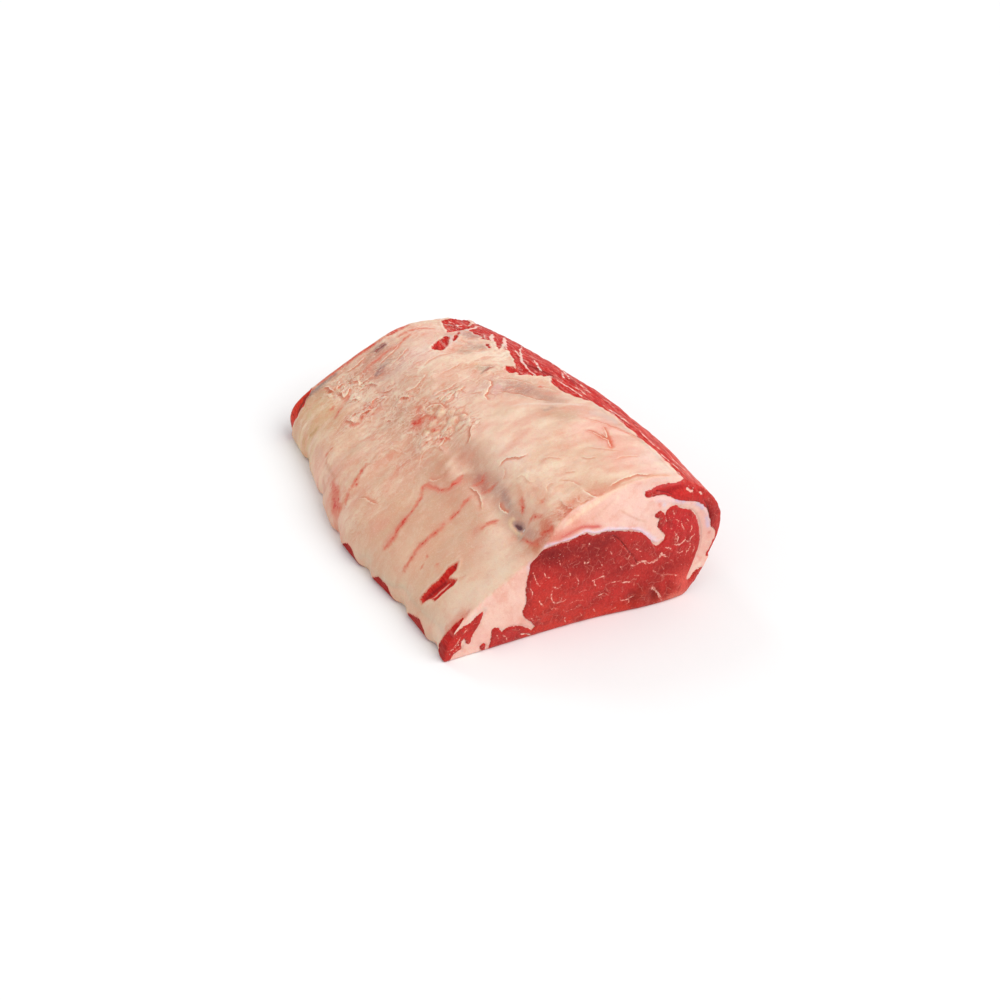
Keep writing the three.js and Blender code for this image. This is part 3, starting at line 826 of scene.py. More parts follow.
# Small lumps of fat: middle x, y, radius, rise.
LUMPS = [
    (83, 174, 5.8, 1.2), (77, 179, 4.4, 0.8), (71, 176, 4.8, 0.9), (77, 168, 5.2, 1.1), (85, 163, 4.2, 0.7),
    (81, 192, 5.6, 1.1), (87, 184, 4.2, 0.8), (72, 187, 4.8, 0.6), (64, 182, 3.4, 0.6), (67, 170, 3.2, 0.5),
    (73, 163, 3.4, 0.5), (76, 201, 3.8, 0.6), (81, 206, 4.4, 0.6), (73, 211, 3.6, 0.6), (75, 218, 3.4, 0.4),
    (92, 178, 3.6, 0.8), (91, 169, 3.8, 0.7), (119, 6.5, 2.6, 0.6), (117, 4, 2.4, 0.5), (106, 5, 2.4, 0.5),
    (110, 3.5, 2.4, 0.5), (132, 5.5, 2.8, 0.6), (98, 7, 2.4, 0.5), (41, 312, 3.4, 0.8), (36, 306, 3.4, 0.8),
    (44, 304, 3, 0.7), (33, 318, 3, 0.8), (48, 309, 3, 0.7), (38, 258, 3, 0.7), (44, 255, 2.8, 0.6),
]
CURLS = {"torn": (56, 0.2, 0.7, 4, 11), "flaky": (10, 0.12, 0.3, 12, 30)}  # count, rises, lengths
# Where the far half's tissue is torn: middle x, y, half sizes.
TORN_SPOTS = [
    (38, 311, 15, 16), (52, 300, 10, 14), (48, 262, 24, 9), (30, 262, 10, 9), (66, 240, 12, 8),
    (90, 206, 10, 9), (72, 204, 12, 8), (100, 204, 9, 10), (94, 158, 8, 9), (72, 166, 9, 6),
    (58, 174, 9, 7), (41, 286, 8, 8),
]


def zones(x, y):
    """How much each kind of surface has of the top at x, y, each from 0 to 1."""
    return {
        "torn": np.maximum.reduce([blob(x, y, spot) for spot in TORN_SPOTS]),
        "flaky": smooth((y - 136) / 46) * smooth((112 - x) / 24) * smooth((x - 12) / 36),
        "crumpled": blob(x, y, (112, 46, 36, 50)) * smooth((x - 78) / 12) * smooth((170 - x) / 22),
        "mid": smooth((x - 92) / 26) * smooth((y - 150) / 40),
        "slab": smooth((66 - x) / 14) * smooth((175 - y) / 40),
        "left": smooth((60 - x) / 20) * smooth((y - 120) / 30),
        "rim": blob(x, y, (102, 8, 26, 12)),
    }


def scattered_curls():
    """Seeded edges of tissue over the far half between its named ones, as more flaps."""
    draw = np.random.default_rng(7)
    made = []
    for kind, (count, least, most, shortest, longest) in CURLS.items():
        left = count
        while left:
            x, y = draw.uniform((6, 130), (116, 338))
            turn = draw.normal(0.1, 0.35)
            length = draw.uniform(shortest, longest)
            bend = draw.normal(0, 0.04)
            if zones(x, y)[kind] < draw.uniform(0.2, 0.9):
                continue
            steps = np.linspace(-length / 2, length / 2, 4)
            headings = turn + bend * steps
            line = np.stack([x + steps * np.cos(headings), y + steps * np.sin(headings)], 1)
            made.append((draw.uniform(least, most), draw.uniform(4, 9), line))
            left -= 1
    return made


ALL_FLAPS = sum(FLAPS.values(), []) + scattered_curls()


def wandering(points):
    """The points' x, y, shifted a little to and fro so that lines measured from them look torn."""
    big = np.stack([noise(points, 7, 17), noise(points, 7, 18)], 1)
    small = np.stack([noise(points, 2.5, 19), noise(points, 2.5, 20)], 1)
    return points[:, :2] + 1.1 * big + 0.45 * small


def flap_fields(points):
    """The nearest flap's signed distance and weight at each point, and the height of all flaps together."""
    xy = wandering(points)
    on_top = smooth((points[:, 2] - 10) / 8) * (1 - np.maximum(*cut_share(points)))
    distance = np.full(len(points), AWAY)
    weight = np.zeros(len(points))
    height = np.zeros(len(points))
    for rise, reach, line in ALL_FLAPS:
        found, off, share = near_line(line, xy, reach + 4)
        ends = taper(share, 0) * on_top[found]
        fade = smooth((reach + 4 - np.abs(off)) / 3)
        sheet = smooth((off + 0.8) / 1.6) * np.exp(-np.maximum(off, 0) * 2 / reach)
        pocket = bell((off + 1.6) / 1.3)
        height[found] += 0.75 * rise * ends * fade * (sheet - 0.35 * pocket)
        here = ends * smooth((4.5 - np.abs(off)) / 2) * min(1, rise)
        better = here > weight[found]
        weight[found[better]] = here[better]
        distance[found[better]] = off[better]
    return distance, weight, height


def ellipse_share(x, y, ellipse):
    """0 in the middle of a flat ellipse, 1 on its edge."""
    cx, cy, _, along, across, turn = ellipse
    c, s = math.cos(math.radians(turn)), math.sin(math.radians(turn))
    x, y = x - cx, y - cy
    return np.hypot((x * c + y * s) / along, (y * c - x * s) / across)


def lump_fields(x, y):
    """Where each point lies on the nearest lump: 0 in its middle, 1 on its edge; and the lumps' height."""
    share = np.full(np.shape(x), 3.0)
    height = np.zeros(np.shape(x))
    rough = 0.3 * noise(np.stack([x, y, 0 * x], 1), 3, 46)
    for cx, cy, radius, rise in LUMPS:
        away = np.hypot(x - cx, y - cy) / radius + rough
        share = np.minimum(share, away)
        height = np.maximum(height, rise * smooth(1.25 * (1 - away)))
    return share, height


def vein_depth(points):
    """How far each point lies inside the nearest vein or bare spot, in mm."""
    depth = -edge_distance(sum(VEINS.values(), []), wandering(points), AWAY, 6, 0.35)
    return np.where(points[:, 2] > 10, depth, -AWAY)


# ---------------------------------------------------------------- fine relief

FIBRES = (1, 0.05, 0)  # the far half's sheets of tissue run across the roast
FILM_HEIGHT = 56  # film shows on the lean above this height
# Low mounds of the top: middle x, y, half sizes, rise.
MOUNDS = [(96, 274, 24, 24, 2.4), (128, 250, 22, 16, 0.9), (56, 216, 22, 10, 0.8), (124, 96, 24, 16, 0.8)]


def sheets(points, size, seed, count, lip):
    """Overlapping soft sheets: ledges along the contours of a slow noise, each with a raised edge."""
    shift = [noise(points, size * 0.5, seed + k) for k in (1, 2, 3)]
    warped = points + 0.3 * size * np.stack(shift, 1)
    level = count * (layered(stretched(warped, 1.7 * size, size, FIBRES), 1, seed, 2) + 4)
    within = level % 1
    return smooth(within / 0.2) - within + lip * bell((within - 0.24) / 0.12)


def film_distance(points):
    """Distance to the nearest film over the lean, less its half width, in mm."""
    distance = edge_distance(FILMS, wandering(points), FILM_AWAY, 5, 0.3, 4)
    return np.where(points[:, 2] > FILM_HEIGHT, distance, FILM_AWAY)


def film_weight(points):
    """1 on a film over the lean, 0 away from the films."""
    return bell(np.maximum(film_distance(points), 0) / 0.8)


def mounds(x, y):
    """The height of the low mounds at x, y, in mm."""
    return sum(rise * blob(x, y, spot) for *spot, rise in MOUNDS)


def skin_relief(points, flap_height):
    """How far the skin stands out of the loft's smooth form, in mm."""
    x, y, z = points.T
    zone = zones(x, y)
    top = smooth((z - 12) / 16)
    depth = lean_depth(points)
    lean = smooth(depth / 1.6)
    level = points * [1, 1, 0.2]
    fat = 0.25 * layered(points, 12, 21, 2) + 0.06 * noise(points, 3, 25)
    fat += zone["torn"] * (0.75 * sheets(points, 18, 31, 2.2, 0.4) + 0.35 * layered(points, 9, 35, 2))
    folds = noise(stretched(level, 30, 12, FIBRES), 1, 38)
    fat += zone["flaky"] * (0.5 * folds + 0.6 * noise(points, 14, 37))
    fat += zone["rim"] * (0.3 * sheets(points, 12, 63, 2, 0.3) + 0.15 * noise(points, 5, 66))
    crumples = 0.8 * layered(points * [1, 1.2, 1], 14, 51, 2)
    fat += zone["crumpled"] * (crumples + 0.3 * sheets(points, 18, 61, 2, 0.2))
    fat += zone["mid"] * (0.7 * layered(points, 18, 71, 2) + 0.2 * sheets(points, 24, 73, 2, 0.2))
    fat += mounds(x, y) + 0.7 * bell((depth + 1.6) / 1.3)
    jolt = wandering(points)
    fat += lump_fields(*jolt.T)[1] * (z > 15)
    pit = ellipse_share(x, y, PIT_HOLE)
    fat += flap_height - 1.9 * bell(pit / 0.9) + 0.35 * bell((pit - 1.7) / 0.4) * (x < 77)
    fibres = 0.35 * noise(stretched(points, 26, 2.6, (0, 1, 0)), 1, 81)
    fibres += 0.4 * layered(stretched(points, 16, 6, (0.2, 1, 0)), 1, 83, 2)
    lean_part = fibres - 1.0 + 0.5 * film_weight(points)
    relief = fat * top * (1 - lean) + lean_part * lean
    nick = spot_depth(points, ["nick"])
    relief -= (0.9 + 0.6 * lean_part) * smooth(nick / 2.2)
    return relief * smooth((z - 0.4) / 4)


# Lines [x, z] on the near cut: tissue over the eye, film under the cap, dark slits, the bead of fat.
MEMBRANE = [
    [67, 63], [70, 74], [77.5, 81.5], [90, 84], [104, 85.5], [114, 88], [121, 85], [132, 84.5], [145, 81],
    [155, 78], [163, 72], [169, 64], [175, 60], [180, 61],
]
CAP_FILM = [[170, 96], [184, 93.5], [196, 88.5], [209, 84.5], [217, 76], [222, 66], [225.5, 56]]
SLITS = [
    [[136, 78], [142, 72], [149, 61], [155, 51], [158, 45]], [[176, 102], [183, 99.5], [188, 96.5]],
    [[199, 105], [204, 100], [207, 94]], [[216, 84], [220, 76], [222, 67]],
]
RIM_BEAD = [[96, 95], [112, 101], [125, 105], [138, 109], [150, 112], [161, 114], [180, 113]]
# Hollows in its lean: middle x, z, half sizes, depth.
HOLLOWS = [
    (116, 62, 16, 10, 0.7), (84, 76, 14, 7, 0.5), (173, 10, 3.6, 7, 2.2), (142, 40, 9, 8, 0.4),
    (154, 12, 4, 8, 1.4), (162, 15, 5, 5, -1.0),
]


def slit_distance(xz):
    """Distance to the nearest dark slit in the near cut, in mm."""
    return np.minimum.reduce([distance_to_curve(slit, xz) for slit in SLITS])


def cut_relief(points, end):
    """How far a cut stands out of its smooth form, in mm."""
    xz = points[:, [0, 2]]
    x, z = xz.T
    depth = near_muscle_depth(points) if end == "near" else far_muscle_depth(points)
    lean = smooth(depth / 1.2)
    relief = 0.3 * layered(points, 15, 91, 2) * (0.5 + lean) + 0.1 * lean * noise(points, 2.4, 95)
    relief += 0.14 * lean * noise(stretched(points, 14, 2.6, (0.15, 0, 1)), 1, 97)
    relief += 0.7 * lean - 0.6 * bell((depth + 0.4) / 0.9)
    if end == "near":
        relief += 0.8 * bell(distance_to_curve(MEMBRANE, xz))
        relief += 0.6 * bell(distance_to_curve(CAP_FILM, xz) / 2.2) * (1 - lean)
        relief += 0.8 * bell(distance_to_curve(RIM_BEAD, xz) / 2.0)
        relief -= 0.8 * bell(slit_distance(xz) / 0.7)
        for *spot, deep in HOLLOWS:
            relief -= deep * lean * blob(x, z, spot)
        for half_width, line in NEAR_FLAPS_OF_FAT.values():
            relief += 0.6 * bell(distance_to_curve(line, xz) / (half_width + 0.6))
    return relief


# ---------------------------------------------------------------- the body mesh

# Marbling on the near cut: half width and strand [x, z].
MARBLING = [
    (0.45, [[112.5, 62], [113, 59], [115, 59], [117, 60]]),
    (0.3, [[116.5, 77], [116, 74]]),
    (0.35, [[71, 63], [72, 59], [73, 55], [75, 51], [76, 50], [78, 52]]),
    (0.35, [[86, 46], [88, 45], [91, 43], [94, 46]]),
    (0.5, [[86, 42], [85.4, 37], [86, 33], [88, 29.5], [91, 29], [93.5, 30.5], [94, 33.5]]),
    (0.45, [[91, 29], [95.5, 29.5], [98, 31]]),
    (0.45, [[75, 36.5], [77, 32.5], [79, 30]]),
    (0.3, [[85.5, 24], [88, 25], [90, 23]]),
    (0.45, [[119, 41], [121, 41], [124, 42], [129, 42.5], [130, 37.5]]),
    (0.35, [[128.5, 46], [128.6, 42.5]]),
    (0.5, [[121, 41], [121.5, 37], [123, 35]]),
    (0.35, [[131, 33.5], [135, 34.5], [140, 33.5], [144, 33]]),
    (0.5, [[144, 31], [149, 30.5], [153, 29]]),
    (0.3, [[143, 47], [145, 43]]),
    (0.3, [[109, 33], [112, 34], [115, 33.5]]),
    (0.25, [[101, 25], [107, 26], [113, 23.5]]),
    (0.55, [[144, 17], [145, 14], [151, 13], [152, 10], [150, 8.5]]),
    (0.4, [[151, 13], [156, 15]]),
    (0.35, [[111, 12], [112.5, 8]]),
    (0.35, [[98, 11], [98, 8], [99.5, 5]]),
    (0.4, [[66, 21], [69, 21], [71, 18.5]]),
    (0.35, [[138, 6], [141, 7.5]]),
    (0.3, [[122, 12], [124, 8]]),
    (0.6, [[152, 45], [156, 43], [161, 45]]),
    (1.3, [[159, 46], [161, 45], [165, 44.5], [166, 41]]),
    (0.6, [[165, 44], [169, 41], [172, 42]]),
    (1.4, [[171, 41], [175, 42], [175.5, 44]]),
    (1.4, [[177.5, 43.5], [179, 45], [180, 48]]),
    (1.1, [[179, 45], [181.5, 44.5], [184, 42]]),
    (0.4, [[183, 51], [187, 49.5], [189, 46]]),
    (0.45, [[196, 70], [197, 67], [199, 63]]),
    (0.7, [[186, 68.5], [188, 67.5]]),
    (0.8, [[189, 52], [192, 51], [196, 49.5], [200, 52], [201, 54.5]]),
    (0.55, [[202, 51], [205, 49], [205, 52.5], [209, 55]]),
    (0.5, [[205, 49], [206, 45], [205, 41], [203, 40], [202, 37]]),
    (0.4, [[181, 27], [186, 25.5], [195, 22]]),
    (0.4, [[172, 34], [175, 31]]),
    (0.5, [[188, 84], [189, 80]]),
    (0.7, [[205, 15], [207, 21]]),
    (0.6, [[209, 28], [212, 30]]),
    (1.4, [[168, 19], [171, 18.5], [175, 14], [178, 8], [180, 3]]),
    (0.4, [[204, 58], [206, 62], [205, 66]]),
    (0.4, [[193, 44], [196, 41], [200, 42]]),
    (0.35, [[188, 38], [191, 35]]),
    (0.4, [[190, 76], [193, 73], [192, 70]]),
    (0.35, [[201, 72], [203, 69]]),
    (0.35, [[150, 52], [152, 56]]),
    (0.35, [[156, 60], [159, 56], [162, 55]]),
    (0.3, [[68, 50], [70, 46], [69, 41]]),
    (0.3, [[96, 20], [99, 17], [104, 18]]),
    (0.3, [[126, 56], [128, 52]]),
    (0.3, [[92, 68], [93, 63]]),
    (0.4, [[192, 62], [194, 57], [193, 53]]),
    (0.35, [[208, 47], [210, 41], [208, 36]]),
    (0.35, [[156, 34], [160, 33]]),
    (0.3, [[106, 49], [108, 44], [107, 40]]),
    (0.3, [[100, 56], [101, 52]]),
    (0.3, [[80, 60], [81, 56], [84, 55]]),
    (0.3, [[134, 64], [136, 60]]),
    (0.3, [[124, 24], [130, 26], [134, 22]]),
    (0.3, [[170, 66], [173, 70]]),
    (0.3, [[190, 64], [192, 60], [191, 56]]),
    (0.4, [[45, 13], [49, 9], [50, 4]]),
    (0.4, [[41, 14], [43, 8]]),
    (0.5, [[4, 10], [8, 15], [12, 21]]),
    (0.4, [[6, 8], [11, 12]]),
    (0.4, [[14, 24], [18, 28]]),
]
STRAND_STEP = 0.8  # mm between the near cut's points along a strand


def spread_rows():
    """Y of the skin's rows between the rims, closer together near the near cut."""
    rows = [RIM_INSET]
    last = LENGTH - RIM_INSET
    while rows[-1] < last:
        share = rows[-1] / LENGTH
        rows.append(rows[-1] + ROW_STEPS[0] * (1 - share) + ROW_STEPS[1] * share)
    scale = (last - RIM_INSET) / (rows[-1] - RIM_INSET)
    return [RIM_INSET + (y - RIM_INSET) * scale for y in rows]


def skin_rows():
    """Each row of the skin as (y, inset), rounded over the rim at both cuts."""
    turns = [math.pi / 2 * (1 - k / RIM_STEPS) for k in range(RIM_STEPS)]
    near = [(RIM_INSET * (1 - math.sin(a)), RIM_BEVEL * (1 - math.cos(a))) for a in turns]
    far = [(LENGTH - y, inset) for y, inset in reversed(near)]
    return near + [(y, 0.0) for y in spread_rows()] + far


def steps_between_knots():
    """How many points the skin has from each knot of the body's outline to the next."""
    knots = np.array(BODY["near"], float)
    runs = np.hypot(*(np.roll(knots, -1, axis=0) - knots).T)
    kinds = [TOP_STEP] * SIDE_KNOT + [SIDE_STEP] * (SOLE_KNOT - SIDE_KNOT)
    kinds += [SOLE_STEP] * (len(knots) - SOLE_KNOT)
    return [max(1, round(run / step)) for run, step in zip(runs, kinds)]


def skin_grid():
    """The skin's points, one row of points for each entry of skin_rows()."""
    y, inset = np.array(skin_rows()).T
    t = y / LENGTH
    loops = np.einsum("ak,rkc->rac", loop_weights(steps_between_knots()), knots_at(BODY, t))
    t_grid = np.broadcast_to(t[:, None], loops.shape[:2])
    points = np.stack(skin_point(loops[..., 0], loops[..., 1], t_grid), -1)
    flat = points.reshape(-1, 3)
    relief = skin_relief(flat, flap_fields(flat)[2]).reshape(loops.shape[:2])
    push = outward(loops) * (relief - inset[:, None])[..., None]
    points[..., 0] += push[..., 0]
    points[..., 2] = np.maximum(0, points[..., 2] + push[..., 1])
    return points


def with_strands(x, z):
    """The grid's points, with rows of closer ones along each strand of marbling instead of those nearby."""
    rows = []
    for half_width, strand in MARBLING:
        line = np.array(strand, float)
        lengths = np.concatenate([[0], np.cumsum(np.hypot(*np.diff(line, axis=0).T))])
        count = max(2, round(lengths[-1] / STRAND_STEP) + 1)
        even = np.linspace(0, lengths[-1], count)
        spots = np.stack([np.interp(even, lengths, line[:, 0]), np.interp(even, lengths, line[:, 1])], 1)
        run = np.gradient(spots, axis=0)
        beside = np.stack([-run[:, 1], run[:, 0]], 1) / np.hypot(*run.T)[:, None] * (half_width + 0.35)
        rows += [spots, spots + beside, spots - beside]
    close = np.vstack(rows)
    cell = np.unique(np.round(close / (0.5 * STRAND_STEP)), axis=0, return_index=True)[1]
    close = close[cell]
    grid = np.stack([x, z], 1)
    away = np.full(len(grid), np.inf)
    for spot in close:
        away = np.minimum(away, np.abs(grid - spot).max(1))
    grid = grid[away > 0.55 * CUT_STEP["near"]]
    return np.vstack([grid, close]).T


def cut_mesh(ring, end):
    """A cut's points inside its ring, and its triangles over the ring's points and these."""
    step = CUT_STEP[end]
    mx, mz = CUT_MIDDLE[end]
    low, high = ring.min(0), ring.max(0)
    across = np.arange(low[0], high[0], step)
    up = np.arange(low[2], high[2], step * math.sqrt(3) / 2)
    x, z = np.meshgrid(across, up)
    x = x + np.where(np.arange(len(up)) % 2, step / 2, 0)[:, None]
    x, z = x.ravel(), z.ravel()
    if end == "near":
        x, z = with_strands(x, z)
    turn = np.arctan2(ring[:, 2] - mz, ring[:, 0] - mx)
    order = np.argsort(turn)
    reach = np.hypot(ring[:, 2] - mz, ring[:, 0] - mx)[order]
    reach = np.interp(np.arctan2(z - mz, x - mx), turn[order], reach, period=2 * math.pi)
    away = np.hypot(z - mz, x - mx)
    keep = away < reach - 0.9 * step
    x, z, share = x[keep], z[keep], (away / reach)[keep]
    t, outwards = (0, -1) if end == "near" else (1, 1)
    y = t * LENGTH + cut_shape(x, z, t)
    flat = np.stack([x, y, z], 1)
    rise = FACE_BULGE * (1 - share**2) + smooth((1 - share) / 0.04) * cut_relief(flat, end)
    flat[:, 1] += outwards * rise
    places = [Vector((px, pz)) for px, pz in np.vstack([ring[:, [0, 2]], flat[:, [0, 2]]])]
    made = delaunay_2d_cdt(places, [], [list(range(len(ring)))[::-1]], 0, 1e-5, True)
    if len(made[0]) != len(places):
        raise ValueError(f"the {end} cut changed its points: {len(places)} to {len(made[0])}")
    triangles = np.array([face for face, inside in zip(made[2], made[5]) if inside])
    if end == "far":
        triangles = triangles[:, ::-1]
    return flat, triangles


def new_object(name, points, faces):
    """A linked object with a new mesh."""
    mesh = bpy.data.meshes.new(name)
    mesh.from_pydata(points, [], faces)
    made = bpy.data.objects.new(name, mesh)
    bpy.context.scene.collection.objects.link(made)
    return made


def tube_faces(rows, around):
    """Quads of a tube whose rows follow one another along +Y."""
    i = np.arange(around)
    first = np.stack([i, (i + 1) % around, (i + 1) % around + around, i + around], 1)
    return np.vstack([first + r * around for r in range(rows - 1)])


def body_object():
    """The whole roast as one closed mesh, with fine relief and the two cuts."""
    grid = skin_grid()
    rows, around = grid.shape[:2]
    near_points, near_faces = cut_mesh(grid[0], "near")
    far_points, far_faces = cut_mesh(grid[-1], "far")
    first_near = rows * around
    first_far = first_near + len(near_points)
    last_row = (rows - 1) * around
    near_faces = np.where(near_faces < around, near_faces, near_faces - around + first_near)
    far_faces = np.where(far_faces < around, far_faces + last_row, far_faces - around + first_far)
    points = np.vstack([grid.reshape(-1, 3), near_points, far_points])
    faces = tube_faces(rows, around).tolist() + near_faces.tolist() + far_faces.tolist()
    return new_object("body", points, faces)


def muscle_object(outline):
    """A muscle as a tube that runs past both cuts."""
    y = np.linspace(-OVERSHOOT, LENGTH + OVERSHOOT, MUSCLE_ROWS)
    weights = loop_weights([MUSCLE_STEPS] * len(outline["near"]))
    loops = np.einsum("ak,rkc->rac", weights, knots_at(outline, np.clip(y / LENGTH, 0, 1)))
    rows, around = loops.shape[:2]
    points = np.stack([loops[..., 0], np.broadcast_to(y[:, None], (rows, around)), loops[..., 1]], -1)
    faces = tube_faces(rows, around).tolist()
    faces += [list(range(around))[::-1], list(range((rows - 1) * around, rows * around))]
    return new_object("tube", points.reshape(-1, 3), faces)


# ---------------------------------------------------------------- pieces cut from the body


def combined(target, other, operation):
    """The target cut by another solid, as a new mesh."""
    cut = target.modifiers.new("cut", "BOOLEAN")
    cut.operation = operation
    cut.object = other
    cut.solver = "MANIFOLD"
    graph = bpy.context.evaluated_depsgraph_get()
    mesh = bpy.data.meshes.new_from_object(target.evaluated_get(graph))
    target.modifiers.clear()
    return mesh


def points_of(mesh):
    """The mesh's points, one row for each."""
    flat = np.zeros(len(mesh.vertices) * 3, np.float32)
    mesh.vertices.foreach_get("co", flat)
    return flat.reshape(-1, 3).astype(float)


def without_scraps(mesh):
    """Only the mesh's largest connected piece."""
    edges = np.zeros(len(mesh.edges) * 2, np.int32)
    mesh.edges.foreach_get("vertices", edges)
    a, b = edges.reshape(-1, 2).T
    label = np.arange(len(mesh.vertices))
    while True:
        low = np.minimum(label[a], label[b])
        after = label.copy()
        np.minimum.at(after, a, low)
        np.minimum.at(after, b, low)
        after = after[after]
        if (after == label).all():
            break
        label = after
    names, counts = np.unique(label, return_counts=True)
    keep = label == names[counts.argmax()]
    if keep.all():
        return mesh
    points = points_of(mesh)
    number = np.cumsum(keep) - 1
    faces = [[number[v] for v in p.vertices] for p in mesh.polygons if keep[p.vertices[0]]]
    made = bpy.data.meshes.new(mesh.name)
    made.from_pydata(points[keep], [], faces)
    return made


# ---------------------------------------------------------------- paint

FAT = (240, 204, 180)
CUT_FAT = (246, 204, 188)
SIDE_LEAN = (204, 30, 24)
CUT_LEAN = (201, 46, 41)
WARMER = np.array([1.0, 0.985, 0.97])
# Broad fields of the fat's colour on the top, one of them painted light: centre x, y, half sizes along x
# and y, colour, strength.
FAT_FIELDS_AND_LIGHT = [
    (14, 90, 62, 150, (226, 178, 146), 0.95),
    (52, 110, 30, 60, (218, 170, 142), 0.7),
    (4, 300, 34, 60, (234, 196, 148), 0.9),
    (60, 300, 50, 50, (230, 186, 160), 0.8),
    (112, 300, 34, 44, (240, 200, 182), 0.8),
    (66, 235, 46, 42, (224, 176, 150), 0.8),
    (118, 232, 34, 44, (232, 190, 162), 0.8),
    (141, 176, 16, 14, (202, 152, 136), 0.6),
    (122, 124, 44, 52, (244, 208, 184), 0.8),
    (112, 46, 34, 40, (238, 202, 174), 0.8),
    (154, 124, 14, 16, (214, 158, 130), 0.8),
    (66, 180, 18, 16, (212, 146, 116), 0.65),
    (62, 218, 20, 16, (206, 138, 108), 0.75),
    (64, 124, 16, 28, (198, 136, 108), 0.8),
    (72, 112, 9, 22, (214, 156, 130), 0.55),
    (60, 38, 14, 14, (254, 222, 200), 0.8),
    (35, 36, 18, 16, (216, 158, 128), 0.7),
    (102, 93, 16, 14, (250, 216, 196), 0.7),
    (76, 301, 18, 26, (184, 118, 96), 0.9),
    (150, 40, 24, 34, (232, 190, 160), 0.6),
    (176, 72, 24, 52, (250, 196, 186), 0.8),
    (188, 26, 20, 30, (250, 208, 198), 0.75),
    (112, 8, 32, 12, (218, 138, 108), 0.85),
    (152, 124, 18, 14, (212, 160, 132), 0.6),
    (104, 200, 22, 26, (234, 186, 168), 0.5),
    (78, 42, 7, 9, (186, 132, 112), 0.6),
    (70, 24, 9, 12, (204, 146, 120), 0.55),
    (133, 7, 16, 9, (218, 142, 114), 0.75),
    (39, 265, 14, 12, (248, 210, 182), 0.5),
    (66, 222, 10, 12, (206, 142, 118), 0.6),
    (60, 126, 8, 14, (200, 134, 104), 0.5),
    (26, 12, 44, 22, (252, 226, 202), 0.8),
    # painted light that lifts the shaded foot of the lip
    (-8, 250, 20, 26, (254, 210, 184), 0.8),
    (112, 243, 18, 14, (252, 222, 198), 0.6),
    (4, 84, 14, 20, (246, 208, 180), 0.6),
    (10, 296, 22, 26, (214, 184, 132), 0.8),
    (28, 332, 20, 13, (176, 130, 98), 0.85),
    (100, 282, 26, 22, (250, 218, 204), 0.7),
    (146, 244, 22, 14, (250, 226, 204), 0.5),
]
# The same on the near cut: centre x, z.
CUT_FAT_FIELDS = [
    (150, 92, 30, 14, (243, 202, 190), 0.8),
    (120, 97, 24, 8, (234, 176, 156), 0.6),
    (88, 87, 18, 7, (216, 116, 90), 0.85),
    (45, 32, 24, 22, (244, 200, 182), 0.7),
    (66, 60, 6, 26, (236, 178, 160), 0.5),
    (62, 18, 12, 14, (236, 176, 162), 0.6),
    (30, 12, 10, 12, (240, 180, 168), 0.5),
    (224, 40, 8, 22, (234, 164, 148), 0.7),
    (215, 60, 10, 30, (226, 160, 148), 0.6),
]
# Stains on the near cut, with a painted highlight on the membrane's line:
CUT_STAINS_AND_HIGHLIGHT = [  # half width, strength, colour, line [x, z]
    (1.7, 0.9, (214, 88, 82), [[92, 87.5], [102, 89.5], [112, 91.5], [120, 89.5], [128, 88]]),
    (3.0, 0.5, (234, 150, 132), [[76, 80], [88, 87], [100, 92], [114, 96]]),
    (0.7, 0.45, (214, 150, 120), [[144, 96], [150, 91], [158, 85], [166, 80]]),
    (0.9, 0.35, (220, 158, 134), [[118, 94], [130, 99], [142, 104]]),
    (1.8, 0.75, (250, 214, 184), RIM_BEAD),
    (2.2, 0.6, (242, 200, 158), [[12, 40], [30, 50], [54, 66], [66, 74]]),
    # the membrane's lilac film, made paler as a painted highlight: this line and the next
    (1.3, 0.95, (232, 208, 222), MEMBRANE),
    (1.5, 0.85, (230, 204, 220), [[155, 78.5], [163, 73], [169, 66], [175, 62]]),
    (1.9, 0.6, (226, 192, 196), CAP_FILM),
    (1.6, 0.9, (206, 186, 206), [[190, 91.5], [196, 90], [199, 88]]),
    (1.6, 0.9, (208, 186, 204), [[209, 84], [213, 80], [216, 76]]),
    (1.6, 0.9, (212, 186, 206), [[219, 68], [220.5, 62], [222, 56]]),
    (1.4, 0.8, (210, 120, 110), [[222.5, 52], [224, 50]]),
    (1.4, 0.6, (226, 142, 126), [[213, 33], [216, 28], [211, 25]]),
    (1.6, 0.7, (234, 140, 120), [[176, 93], [178, 90]]),
    (1.6, 0.7, (222, 206, 220), [[180, 92], [181, 89]]),
]
